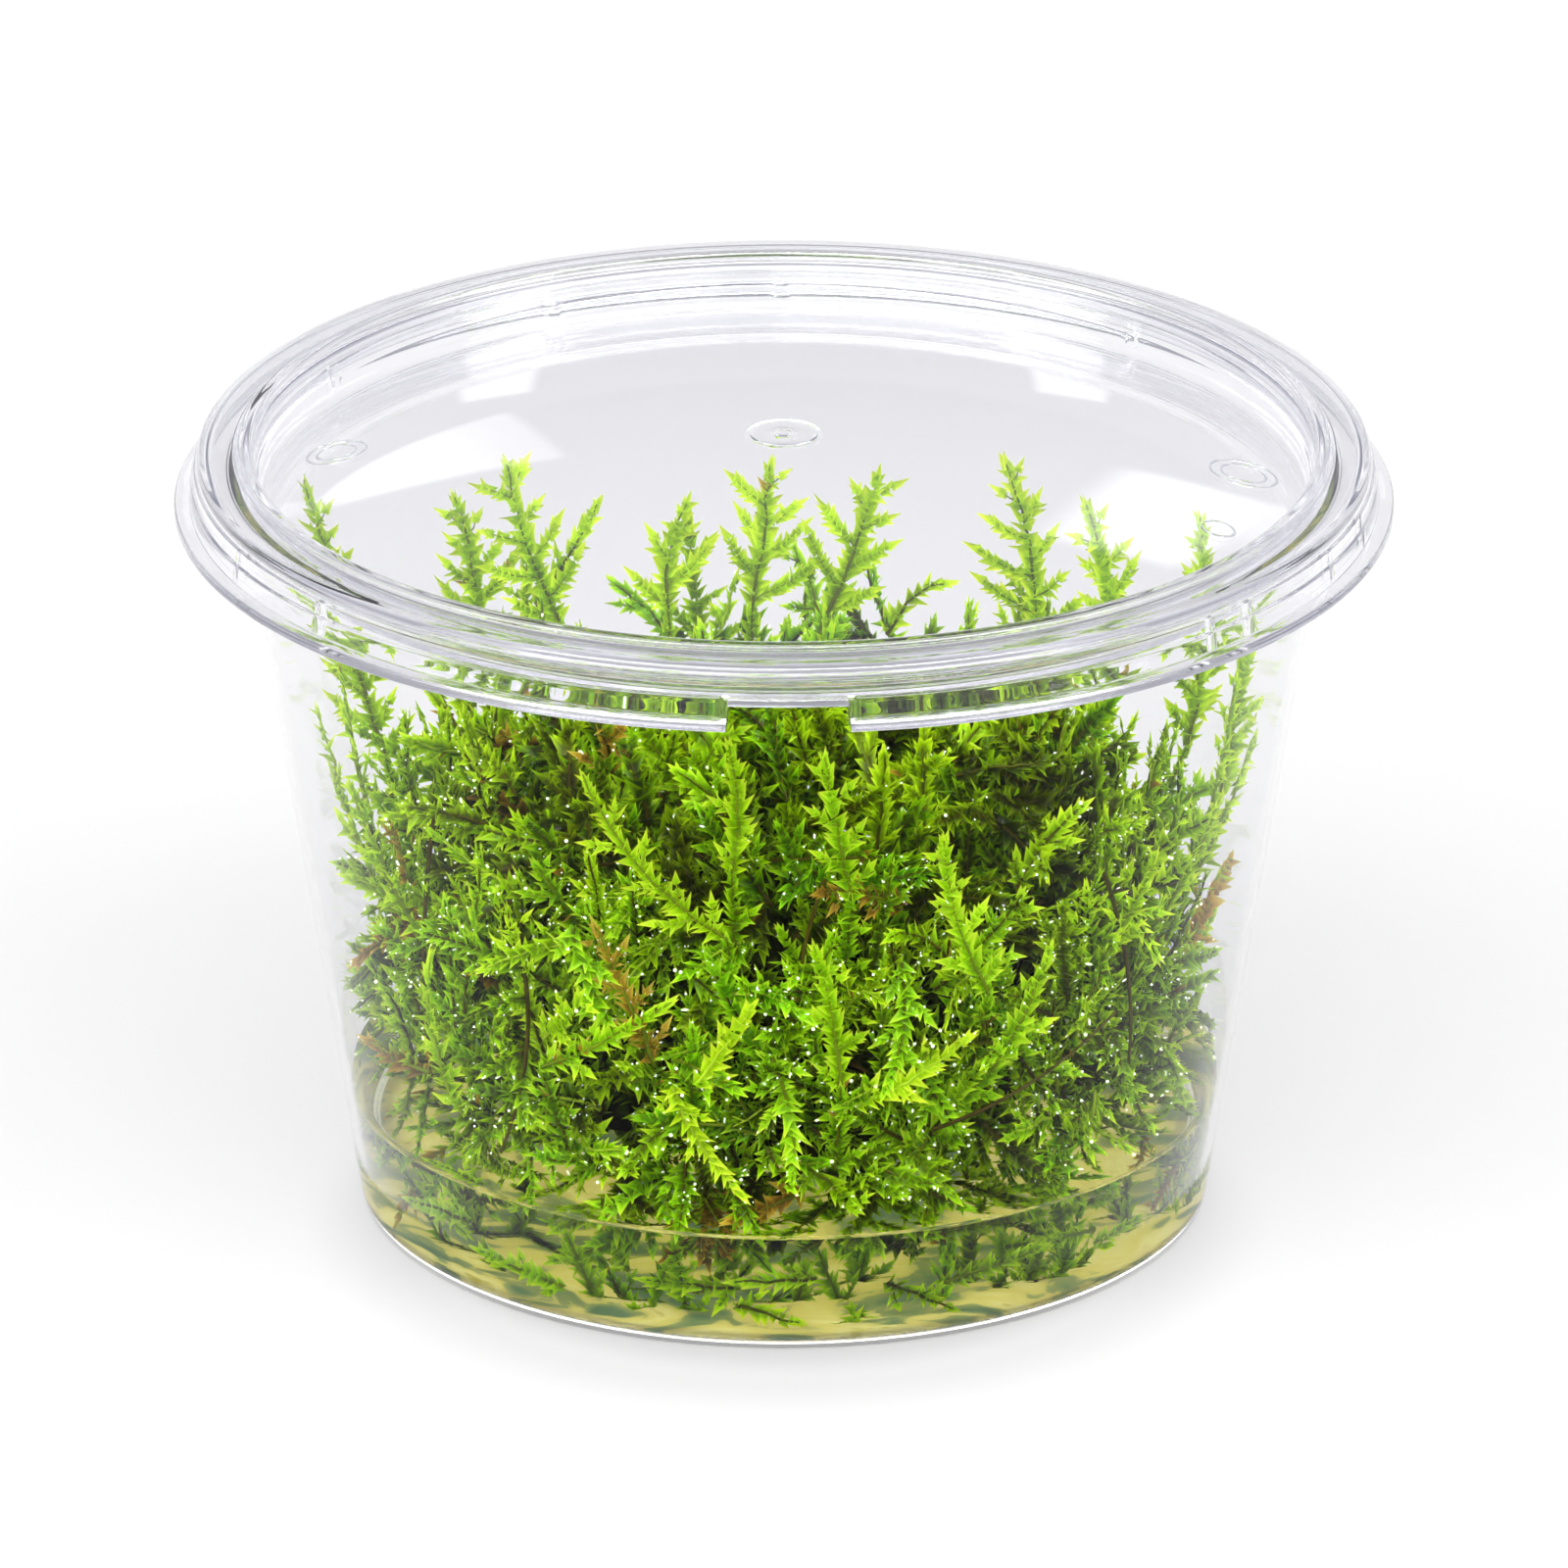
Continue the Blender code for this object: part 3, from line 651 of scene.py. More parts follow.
def grow(g, foot, tip, bow, facing, half_width, tone, kind, leaf=1.0, gap=2.3, bare=0.03,
         stem=0.95, stem_tone=0.35, brown=0.0, rough=1.0, thick=1.0, slim=None):
    """One flattened shoot: a stem with a rank of leaves on either side that overlap at
    their feet, and alternate side branches that carry smaller leaves."""
    length = float(np.linalg.norm(np.subtract(tip, foot)))
    facing = unit(np.asarray(facing, float))
    share = np.linspace(0, 1, max(5, int(length / 1.6) + 2))
    line, _ = bent(foot, tip, bow, share)
    line[1:-1] += rng.normal(0, 0.10 * rough, (len(line) - 2, 3))
    g.add_tube(line, np.interp(share, (0, 1), (0.19, 0.08)) * thick, stem_tone, stem, 4)
    old = rng.random() < brown
    leaf_kind = 0.85 if old else min(kind, 0.775)
    slim = rng.uniform(0.0, 0.34) if slim is None else slim

    def ranks(points, heads, normal, s, size, lean0, lean1, tones):
        side = unit(np.cross(heads, normal))
        up = np.cross(side, heads)
        for sign in (-1, 1):
            n = len(points)
            lean = np.radians(lean0 + (lean1 - lean0) * s + rng.normal(0, 10 * rough, n))
            way = (heads * np.cos(lean)[:, None] + side * (sign * np.sin(lean))[:, None]
                   + up * rng.normal(0.10, 0.20 * rough, n)[:, None])
            normal_here = up + side * (sign * 0.3) + rng.normal(0, 0.25 * rough, (n, 3))
            long = size * rng.uniform(0.80, 1.20, n)
            kinds = leaf_kind + rng.normal(0, 0.03, n)
            if not old:
                kinds = np.where(rng.random(n) < 0.004, 0.85, np.minimum(kinds, 0.775))
            g.add_leaves(points + heads * rng.normal(0, 0.08, n)[:, None], way, normal_here,
                         long, long * rng.uniform(0.34, 0.47, n) * (1 - slim), rng.normal(0.04, 0.34, n),
                         tones + rng.normal(0, 0.05, n), kinds)

    # leaves on the main stem
    n = max(3, int(length * (1 - bare) / 0.72))
    s = np.linspace(bare, 0.965, n) + rng.normal(0, 0.006, n)
    points, heads = bent(foot, tip, bow, s)
    taper = np.interp(s, (0, 0.25, 0.7, 1.0), (0.80, 1.0, 0.92, 0.60))
    # leaves get brighter towards the tip: partly paler young growth, partly painted light where the shoot
    # leaves the shade of the clump
    ranks(points, heads, facing, s, 1.50 * leaf * taper, 62, 30, tone + 0.22 * (s - 0.5))
    # a pointed leaf closes the tip
    end, head = bent(foot, tip, bow, [0.93, 0.96])
    g.add_leaves(end, head + rng.normal(0, 0.08, (2, 3)), facing + rng.normal(0, 0.3, (2, 3)),
                 np.array((1.7, 1.4)) * leaf, np.array((0.40, 0.34)) * leaf, 0.05, tone + 0.17, leaf_kind)
    if half_width < 1.4:
        return
    # side branches, alternately left and right, long near the foot and short near the tip
    count = max(2, int(length * 0.84 / gap * 1.25))
    starts = np.linspace(0.05, 0.86, count) + rng.normal(0, 0.015, count)
    first = rng.integers(2)
    for i, at in enumerate(starts):
        sign = -1 if (i + first) % 2 else 1
        env = np.interp(at, (0.0, 0.10, 0.35, 0.65, 1.0), (0.9, 1.35, 1.15, 0.72, 0.30))
        reach = half_width * env * rng.uniform(0.62, 1.25)
        if reach < 1.1:
            continue
        point, head = bent(foot, tip, bow, [at])
        point, head = point[0], head[0]
        side = unit(np.cross(head, facing)) * sign
        lean = math.radians(rng.uniform(38, 58))
        way = head * math.cos(lean) + side * math.sin(lean) + facing * rng.normal(0, 0.22 * rough)
        end = point + unit(way) * reach
        bend = side * reach * rng.uniform(0.0, 0.10) - head * reach * rng.uniform(-0.04, 0.06)
        twig, _ = bent(point, end, bend, np.linspace(0, 1, 3))
        g.add_tube(twig, np.array((0.11, 0.085, 0.05)) * thick, stem_tone + 0.14, stem)
        m = max(2, int(reach / 0.56))
        s = np.linspace(0.14, 0.90, m)
        points, heads = bent(point, end, bend, s)
        # the branch's leaves also get brighter outwards: partly young growth, partly painted light
        ranks(points, heads, facing + rng.normal(0, 0.15 * rough, 3), s,
              1.08 * leaf * np.interp(s, (0, 0.5, 1), (0.85, 1.0, 0.70)), 58, 34,
              tone + 0.16 * (at - 0.5) + 0.14 * s)
        g.add_leaves(end[None], unit(way)[None], facing[None] + rng.normal(0, 0.3, (1, 3)),
                     1.35 * leaf, 0.33 * leaf, 0.05, tone + 0.20, leaf_kind)


# the free shoots, as foot / tip / bow / half width / turn of the flat side
SHOOTS = {
    "shoot_top_01": ((-33.0, 9.0, 34.0), (-39.6, 11.5, 57.6), (0.0, 0.0, 0.0), 2.4, 25),
    "shoot_top_02": ((-25.5, 19.5, 38.0), (-27.3, 20.5, 52.6), (0.8, 0.0, 0.0), 3.0, 12),
    "shoot_top_03": ((-18.5, 17.5, 42.6), (-22.9, 18.5, 56.4), (-0.6, 0.0, 0.0), 3.0, 5),
    "shoot_top_04": ((-9.6, 15.0, 44.6), (-8.0, 16.0, 53.9), (-0.6, 0.0, 0.0), 2.6, -6),
    "shoot_top_05": ((-2.6, 15.5, 45.0), (-1.2, 16.0, 57.2), (0.2, 0.0, 0.0), 3.4, 3),
    "shoot_top_06": ((3.6, 13.0, 45.3), (7.8, 13.5, 57.4), (0.3, 0.0, 0.0), 3.0, -4),
    "shoot_top_07": ((20.8, 14.5, 42.2), (18.2, 15.0, 58.0), (0.9, 0.0, 0.0), 3.0, 8),
    "shoot_top_08": ((27.2, 13.0, 39.0), (24.9, 14.0, 54.7), (0.8, 0.0, 0.0), 2.5, 10),
    "shoot_top_09": ((33.5, 12.5, 34.0), (34.4, 15.5, 52.8), (0.8, 0.0, 0.0), 2.2, -25),
    "shoot_top_10": ((36.0, 3.5, 33.0), (39.0, 7.5, 53.4), (0.3, 0.0, 0.0), 1.9, -45),
    "shoot_left_01": ((-33.4, 1.0, 29.8), (-36.6, 3.4, 45.2), (-0.4, 0.0, 0.0), 2.3, 84),
    "shoot_left_02": ((-33.4, -7.5, 29.8), (-38.2, -4.5, 44.2), (-0.3, -0.3, 0.0), 2.2, 72),
    "shoot_left_03": ((-30.2, -15.8, 29.8), (-35.2, -13.2, 41.0), (-0.3, -0.2, 0.0), 2.1, 60),
    "shoot_right_01": ((33.6, -2.5, 29.8), (37.2, -1.0, 45.6), (0.5, 0.0, 0.0), 2.3, -86),
    "shoot_right_02": ((33.0, -9.2, 29.8), (38.4, -8.5, 43.4), (0.2, -0.3, 0.0), 2.2, -72),
    "shoot_right_03": ((30.4, -15.6, 29.8), (35.4, -15.0, 40.4), (0.3, -0.2, 0.0), 2.1, -62),
    "shoot_right_04": ((26.0, -22.4, 29.8), (30.0, -23.6, 39.0), (0.3, -0.3, 0.0), 2.0, -48),
    "shoot_front_01": ((-4.6, -32.6, 35.4), (-16.2, -33.0, 50.0), (-1.0, -0.4, -1.0), 3.0, 10),
    "shoot_front_02": ((-4.2, -35.0, 42.2), (-4.4, -36.0, 53.8), (0.6, 0.0, 0.0), 1.5, 0),
    "shoot_front_03": ((5.4, -32.0, 38.6), (3.2, -33.0, 51.6), (0.0, -0.5, 0.0), 2.7, 0),
    "shoot_front_04": ((16.6, -30.4, 29.6), (12.9, -32.4, 44.0), (-0.8, -0.5, 0.0), 2.5, -16),
    "shoot_front_05": ((-19.6, -29.9, 23.0), (-8.9, -35.0, 31.0), (-0.4, -0.6, -0.4), 1.8, 26),
    "shoot_front_06": ((4.6, -35.7, 23.5), (2.4, -36.4, 36.4), (0.4, 0.0, 0.0), 2.0, 0),
    "shoot_back_01": ((-20.4, 28.8, 29.6), (-21.6, 31.0, 44.0), (-0.3, 0.4, 0.0), 2.6, -35),
    "shoot_back_02": ((-6.6, 33.6, 29.6), (-8.2, 36.0, 45.8), (0.0, 0.4, 0.0), 2.7, -11),
    "shoot_back_03": ((18.2, 29.6, 29.6), (20.4, 31.8, 44.0), (0.2, 0.4, 0.0), 2.7, 32),
}


def build_shoots():
    for name, (foot, tip, bow, half, turn) in SHOOTS.items():
        a = math.radians(turn)
        facing = (-math.sin(a), -math.cos(a), 0.12)
        top = name.startswith("shoot_top")
        front = name.startswith("shoot_front")
        tone = 0.72 if top else 0.76 if front else 0.64
        kind = 0.70 if top else 0.44 if front else 0.66
        g = Growth()
        grow(g, foot, tip, bow, facing, half * (1.3 if top else 1.0), tone + rng.normal(0, 0.03),
             kind + rng.normal(0, 0.05), leaf=1.12 if top else 1.02, gap=1.7 if top else 2.3,
             stem_tone=0.48 if top else 0.62, rough=0.9, slim=0.08 if top else None)
        # its lower stem, down into the clump, darker as painted shade
        low = np.array(foot)
        low[:2] *= 1 - 3.5 / math.hypot(low[0], low[1]) if math.hypot(low[0], low[1]) > 20 else 1
        low[2] -= 8.5
        grow(g, low, foot, (0, 0, 0), facing, 1.8, tone - 0.16, kind - 0.1, stem_tone=0.4)
        if name == "shoot_top_02":
            grow(g, (-20.6, 19.0, 43.6), (-15.5, 20.0, 52.2), (0.4, 0, 0.3), facing, 1.6, tone, kind)
        if name == "shoot_top_06":
            grow(g, (8.5, 14.0, 43.0), (13.4, 14.0, 47.5), (-0.2, 0, 1.2), facing, 1.5, tone, kind)
        piece = g.piece(name.replace("shoot_", "leafy_shoot_"))
        finish_piece(piece, LEAF, "moss_shoot", name)


MAT_OUTLINE = np.array((
    (4.0, 16.0), (6.0, 24.0), (8.4, 28.4), (11.6, 32.0), (15.5, 34.4),
    (24.3, 35.2), (28.8, 34.0), (33.0, 31.5), (36.9, 28.0), (40.1, 23.5),
    (42.5, 18.0), (44.5, 8.0), (46.0, 0.0)))


def mat_radius(z):
    return np.interp(z, MAT_OUTLINE[:, 0], MAT_OUTLINE[:, 1])


def build_mat():
    """The tangled middle: shoots that start near a dark heart and point out and up."""
    names = ["moss_front_left", "moss_front_middle", "moss_front_right",
             "moss_back_left", "moss_back_middle", "moss_back_right"]
    parts = {k: Growth() for k in names}

    def part_for(p):
        third = "left" if p[0] < -11 else "right" if p[0] > 11 else "middle"
        return parts[("moss_front_" if p[1] < 0 else "moss_back_") + third]

    def shaded(p, base):
        """Brighter towards the outside and the top of the clump."""
        r = math.hypot(p[0], p[1]) / max(6.0, float(mat_radius(p[2])))
        return base + 0.22 * min(1.1, r) ** 3 + 0.10 * (p[2] - 8.0) / 36.0

    def hue(a, spread=0.12):
        """Yellower at the flanks, as a painted glow of light through the leaves, greener in the middle of the
        front and of the back.
        """
        return float(np.clip(0.34 + 0.34 * abs(math.cos(a)) ** 1.5 + rng.normal(0, spread), 0.02, 0.77))

    def held(tip, margin=1.5):
        limit = float(inner_radius(tip[2])) - margin
        r1 = math.hypot(tip[0], tip[1])
        if r1 > limit:
            tip[:2] *= limit / r1
        return tip

    def at(a, r, z):
        return np.array((r * math.cos(a), r * math.sin(a), z))

    # upright shoots close to the wall, all the way round
    for i in range(170):
        a = math.tau * (i + rng.uniform(0, 1)) / 170
        flank = abs(math.cos(a)) ** 2
        z0 = rng.uniform(10, 27)
        r0 = float(mat_radius(z0)) - rng.uniform(2.0, 7.5)
        z1 = z0 + rng.uniform(10, 17)
        z1 = min(z1, rng.uniform(36, 47) - 4.0 * flank)
        r1 = max(r0 + rng.uniform(-2.0, 3.5), 26.0)
        foot, tip = at(a, r0, z0), held(at(a + rng.normal(0, 0.13), r1, z1))
        turn = a + rng.normal(0, 0.55)
        grow(part_for(foot), foot, tip, (rng.normal(0, 0.5), rng.normal(0, 0.5), 0),
             (math.cos(turn), math.sin(turn), rng.normal(0.1, 0.2)), rng.uniform(1.7, 2.9),
             shaded(foot, 0.34) + rng.normal(0, 0.07), hue(a),
             stem_tone=rng.choice((0.08, 0.2, 0.35, 0.6)), brown=0.008)
    # shoots that lean out over the flanks in every direction
    for i in range(300):
        a = math.tau * (i + rng.uniform()) / 300
        z0 = rng.uniform(10, 38)
        r0 = float(mat_radius(z0)) - rng.uniform(1.5, 6.5)
        lean, up, out = rng.normal(0, 1.0), rng.normal(0.25, 0.65), rng.uniform(0.2, 0.8)
        foot = at(a, r0, z0)
        way = at(a, out, up) + lean * np.array((-math.sin(a), math.cos(a), 0))
        tip = held(foot + unit(way) * rng.uniform(6.5, 12.0))
        turn = a + rng.normal(0, 0.40)
        grow(part_for(foot), foot, tip, (0, 0, rng.normal(0.2, 0.6)),
             (math.cos(turn), math.sin(turn), rng.normal(0.15, 0.3)), rng.uniform(1.6, 2.7),
             shaded(foot, 0.32) + rng.normal(0, 0.11), hue(a, 0.15),
             stem_tone=rng.choice((0.10, 0.3, 0.6, 0.8)), brown=0.012)
    # the crown
    for i in range(120):
        a = math.tau * rng.uniform()
        r0 = 29.0 * math.sqrt(rng.uniform())
        z0 = float(np.interp(r0, MAT_OUTLINE[::-1, 1], MAT_OUTLINE[::-1, 0])) - rng.uniform(3.5, 9.0)
        out = rng.normal(0.15, 0.4)
        foot = at(a, r0, z0)
        way = at(a, out, 1.0) + np.array((rng.normal(0, 0.45), rng.normal(0, 0.45), 0))
        tip = foot + unit(way) * rng.uniform(7, 10.5)
        tip[2] = min(tip[2], 46.0 if tip[1] < 0 else 45.0)
        facing = (rng.normal(0, 0.5), -1.0 if rng.random() < 0.6 else 1.0, rng.normal(0.2, 0.3))
        grow(part_for(foot), foot, held(tip), (0, 0, 0), facing, rng.uniform(1.7, 2.6),
             0.54 + rng.normal(0, 0.08), hue(a), stem_tone=rng.uniform(0.1, 0.5), brown=0.008)
    # old growth inside, dark also as painted shade
    for i in range(300):
        a = math.tau * rng.uniform()
        z0 = rng.uniform(6, 38)
        r0 = max(4.0, float(mat_radius(z0)) - rng.uniform(7.0, 15.0))
        foot = at(a, r0, z0)
        tip = foot + unit(rng.normal(0, 1, 3) + at(a, 0.8, 0.3)) * rng.uniform(7, 12)
        tip[2] = float(np.clip(tip[2], 5.0, 42.0))
        grow(part_for(foot), foot, held(tip, 3.5), rng.normal(0, 0.6, 3),
             at(a, 1.0, 0.0) + rng.normal(0, 0.5, 3), 2.2, rng.uniform(0.04, 0.30),
             rng.uniform(0.3, 0.77), leaf=1.25, gap=2.8, stem_tone=rng.uniform(0.0, 0.3), brown=0.02)
    # and a thicket behind the front ones, up to the crown, dim as painted shade
    for i in range(110):
        a, r0 = math.tau * rng.uniform(), 24.0 * math.sqrt(rng.uniform())
        foot = at(a, r0, rng.uniform(22, 34))
        tip = foot + unit(rng.normal(0, 0.45, 3) + np.array((0, 0, 1.1))) * rng.uniform(8, 12)
        tip[2] = min(tip[2], 40.5)
        grow(part_for(foot), foot, held(tip, 3.0), rng.normal(0, 0.5, 3),
             (rng.normal(0, 0.5), -1.0, rng.normal(0, 0.3)), 2.5, rng.uniform(0.16, 0.44),
             rng.uniform(0.2, 0.7), leaf=1.2, gap=2.4, stem_tone=rng.uniform(0.0, 0.4), brown=0.012)
    # the fringe at the water
    for i in range(120):
        a = math.tau * (i + rng.uniform(0, 1)) / 120
        z0 = rng.uniform(9, 17)
        r0 = float(mat_radius(z0)) - rng.uniform(1.5, 5.0)
        foot = at(a, r0, z0)
        way = at(a, 0.7, rng.normal(-0.35, 0.4)) + rng.normal(0, 0.9) * np.array((-math.sin(a), math.cos(a), 0))
        tip = foot + unit(way) * rng.uniform(5.0, 8.5)
        tip[2] = max(tip[2], 6.5)
        turn = a + rng.normal(0, 0.5)
        grow(part_for(foot), foot, held(tip, 1.3), (0, 0, -0.2),
             (math.cos(turn), math.sin(turn), 0.4), rng.uniform(1.5, 2.5),
             shaded(foot, 0.26) + rng.normal(0, 0.10), hue(a, 0.15),
             stem_tone=rng.uniform(0.1, 0.7), brown=0.06)
    # shoots that stand out: foot, tip, bow, half width, tone, hue, tone of the stem
    for foot, tip, bow, half, tone, kind, stem_tone in (
            ((-26.0, -21.5, 15.0), (-28.6, -22.6, 30.0), (-1.2, 0, 0), 1.5, 0.78, 0.60, 0.75),
            ((-7.0, -34.6, 23.5), (-2.6, -35.6, 30.8), (0.3, 0, 0.2), 2.0, 0.86, 0.72, 0.95),
            ((-9.0, -33.0, 22.5), (-3.2, -34.2, 13.2), (-0.8, 0, 0.3), 1.9, 0.74, 0.70, 0.80),
            ((5.8, -34.4, 21.4), (15.0, -33.4, 27.2), (0.3, 0, -0.4), 1.8, 0.84, 0.68, 0.95),
            ((17.0, -31.0, 23.5), (21.5, -28.6, 33.0), (0.4, 0, 0.0), 1.9, 0.74, 0.50, 0.60),
            ((-17.0, -30.5, 35.5), (-13.6, -32.0, 26.6), (-0.6, 0, 0.4), 2.2, 0.66, 0.30, 0.50),
            ((9.5, -33.0, 33.5), (8.0, -34.4, 22.5), (0.9, 0, 0.0), 2.2, 0.66, 0.26, 0.45),
            ((-1.0, -33.8, 25.5), (0.6, -34.8, 15.0), (0.6, 0, 0.0), 2.0, 0.70, 0.34, 0.55)):
        foot, tip = np.array(foot), held(np.array(tip))
        a = math.atan2(foot[1], foot[0])
        grow(part_for(foot), foot, tip, bow, at(a, 1.0, 0.2), half, tone, kind, stem_tone=stem_tone)
    # bare brown stems that cross the front
    for foot, tip, bow in (((12.0, -33.6, 19.0), (27.0, -24.0, 25.5), (0.5, -1.2, -0.6)),
                           ((-21.0, -27.0, 30.0), (-23.0, -26.6, 14.0), (1.0, 0.0, 0.0)),
                           ((3.4, -31.0, 40.0), (1.2, -32.6, 30.0), (-0.5, 0.0, 0.0)),
                           ((26.0, -20.0, 36.0), (28.0, -22.0, 20.0), (0.9, 0.0, 0.0)),
                           ((-28.5, -12.0, 38.0), (-29.0, -18.0, 20.0), (-0.6, 0.0, 0.0))):
        line, _ = bent(foot, tip, bow, np.linspace(0, 1, 12))
        parts["moss_front_middle"].add_tube(line, np.linspace(0.20, 0.13, 12), 0.20, 0.95, 4)
    total = 0
    for name, g in parts.items():
        total += g.count()
        print("PIECE", name, g.count())
        finish_piece(g.piece(name), LEAF, "moss_mat", "moss_mat")
    print("TOTAL", total)
    return parts


def build_core():
    """The dark heart of the clump, a blob whose near-black colour is painted shade, seen only between the
    shoots.
    """
    shape = bmesh.new()
    bmesh.ops.create_icosphere(shape, subdivisions=5, radius=1.0)
    for v in shape.verts:
        d = v.co.copy()
        a, share = math.atan2(d.y, d.x), (d.z + 1) / 2
        z = 3.0 + 25.0 * share
        r = 19.0 * math.sqrt(max(0.0, 1 - d.z * d.z)) ** 0.7
        wob = (1 + 0.07 * math.sin(7 * a + 11 * share) + 0.06 * math.sin(13 * a - 17 * share)
               + 0.05 * math.sin(23 * a + 29 * share) + 0.04 * math.sin(41 * a - 47 * share))
        v.co = Vector((r * wob * math.cos(a), r * wob * math.sin(a), z + 0.8 * math.sin(9 * a + 5 * r))) * MM
    mesh = bpy.data.meshes.new("moss_heart")
    shape.to_mesh(mesh)
    shape.free()
    core = bpy.data.objects.new("moss_heart", mesh)
    scene.collection.objects.link(core)
    smooth_by_angle(core, 70)
    finish_piece(core, CORE, "moss_mat", "moss_mat")


def build_sprigs():
    """Loose sprigs that lie in the liquid, between the clump and the wall."""
    g = Growth()
    for i in range(44):
        a = math.tau * (i + rng.uniform(-0.3, 1.3)) / 44
        z0 = rng.uniform(2.2, 8.4)
        r0 = rng.uniform(26.0, 33.0)
        foot = np.array((r0 * math.cos(a), r0 * math.sin(a), z0))
        turn = a + math.pi / 2 * rng.choice((-1, 1)) + rng.normal(0, 0.5)
        tip = foot + np.array((math.cos(turn), math.sin(turn), rng.normal(0, 0.35))) * rng.uniform(5, 9)
        tip[2] = np.clip(tip[2], 2.0, 9.0)
        r1, limit = math.hypot(tip[0], tip[1]), float(inner_radius(tip[2])) - 1.3
        if r1 > limit:
            tip[:2] *= limit / r1
        grow(g, foot, tip, (0, 0, 0), (math.cos(a) + rng.normal(0, 0.4), math.sin(a), rng.uniform(-0.2, 1.0)),
             rng.uniform(1.2, 2.2), rng.uniform(0.45, 0.85), rng.uniform(0.45, 0.77), leaf=0.95, gap=2.6,
             stem_tone=rng.uniform(0.2, 0.6), brown=0.16)
    print("SPRIGS", g.count())
    finish_piece(g.piece("moss_sprigs_under_water"), LEAF, "moss_mat", "moss_mat")


def build_beads(parts):
    """Tiny beads of water that cling to the leaves, white and softly glowing as painted glints."""
    ico = bmesh.new()
    bmesh.ops.create_icosphere(ico, subdivisions=1, radius=1.0)
    shape = np.array([v.co[:] for v in ico.verts])
    tris = np.array([[v.index for v in f.verts] for f in ico.faces])
    ico.free()
    rows = np.concatenate([np.concatenate(g.leaves) for g in parts.values()])
    place = rows[:, 0:3] + unit(rows[:, 3:6]) * (rows[:, 9] * 0.7)[:, None]
    r = np.hypot(place[:, 0], place[:, 1])
    outer = (r > mat_radius(place[:, 2]) - 5.0) & (place[:, 2] > 11) & (rows[:, 13] < 0.9)
    pick = rng.choice(np.flatnonzero(outer), 4400, replace=False)
    out = place[pick].copy()
    away = out.copy()
    away[:, 2] = 8.0
    out += unit(away) * 0.18
    size = np.minimum(rng.gamma(2.0, 0.028, len(pick)) + 0.038, 0.18)
    along = unit(rows[pick, 3:6] + rng.normal(0, 0.3, (len(pick), 3)))
    across = unit(np.cross(along, rng.normal(0, 1, (len(pick), 3))))
    third = np.cross(along, across)
    stretch = np.where(rng.random(len(pick)) < 0.45, rng.uniform(1.5, 3.6, len(pick)), 1.0)
    size = size * np.where(stretch > 1, 0.62, 1.0)
    points = out[:, None] + size[:, None, None] * (
        shape[None, :, 0:1] * (along * stretch[:, None])[:, None]
        + shape[None, :, 1:2] * across[:, None] + shape[None, :, 2:3] * third[:, None])
    faces = tris[None] + len(shape) * np.arange(len(pick))[:, None, None]
    beads = mesh_piece("water_beads", points.reshape(-1, 3), faces.reshape(-1, 3))
    finish_piece(beads, BEAD, None)


# ---------------------------------------------------------------- stage
def build_floor():
    """A white table that glows from below, with painted light and shade: a soft painted contact shade a little
    in front of the cup, a dimmer painted shade far from it, and a bright painted pool of light right under the
    cup that lights the cup's floor from below, so that the cup stands in little shade.
    """
    shape = bmesh.new()
    bmesh.ops.create_grid(shape, x_segments=8, y_segments=8, size=4.0)
    mesh = bpy.data.meshes.new("studio_floor")
    shape.to_mesh(mesh)
    shape.free()
    floor = bpy.data.objects.new("studio_floor", mesh)
    scene.collection.objects.link(floor)
    made, n = material("studio_white")
    diffuse = n.add("ShaderNodeBsdfDiffuse")
    diffuse.inputs["Color"].default_value = (0.10, 0.10, 0.10, 1.0)
    place = n.add("ShaderNodeVectorMath", operation="LENGTH")
    n.put(place.inputs[0], n.add("ShaderNodeTexCoord").outputs["Object"])
    # the painted contact shade lies a little in front; far from the cup the table falls into painted shade
    nearer = n.add("ShaderNodeVectorMath", operation="DISTANCE")
    n.put(nearer.inputs[0], n.add("ShaderNodeTexCoord").outputs["Object"])
    nearer.inputs[1].default_value = (0.0, -0.010, 0.0)
    spread = n.ramp(n.step(nearer.outputs["Value"], 0.025, 0.041, smooth=False), [
        (0.0, (0.36, 0.36, 0.36)), (0.375, (0.51, 0.51, 0.51)), (1.0, (0.650, 0.650, 0.650))], True)
    spread = n.mix(n.step(place.outputs["Value"], 0.29, 0.55), spread, (0.55, 0.55, 0.57))
    # a bright painted pool of light on the table right under the cup, which lights the bed and the liquid from
    # below
    spread = n.mix(n.step(place.outputs["Value"], 0.0332, 0.0322), spread, (2.9, 2.9, 2.75))
    glow = n.add("ShaderNodeEmission")
    n.put(glow.inputs["Color"], spread)
    glow.inputs["Strength"].default_value = 1.0
    both = n.add("ShaderNodeAddShader")
    n.put(both.inputs[0], diffuse.outputs[0])
    n.put(both.inputs[1], glow.outputs[0])
    output(n, both.outputs[0])
    made.cycles.emission_sampling = "NONE"
    mesh.materials.append(made)


# softboxes behind the camera and at the sides: azimuth from +Y towards +X and elevation of
# the middle, half width and half height as tangents, strength, softness of the edge
WINDOWS = (
    (-152.0, 48.0, 0.45, 0.40, 8.2, 0.15),
    (140.0, 49.0, 0.36, 0.26, 8.6, 0.15),
    (180.0, 58.0, 0.80, 0.22, 6.8, 0.15),
    (-118.0, 21.0, 0.20, 0.26, 6.0, 0.08),
    (118.0, 21.0, 0.20, 0.26, 6.0, 0.08),
)


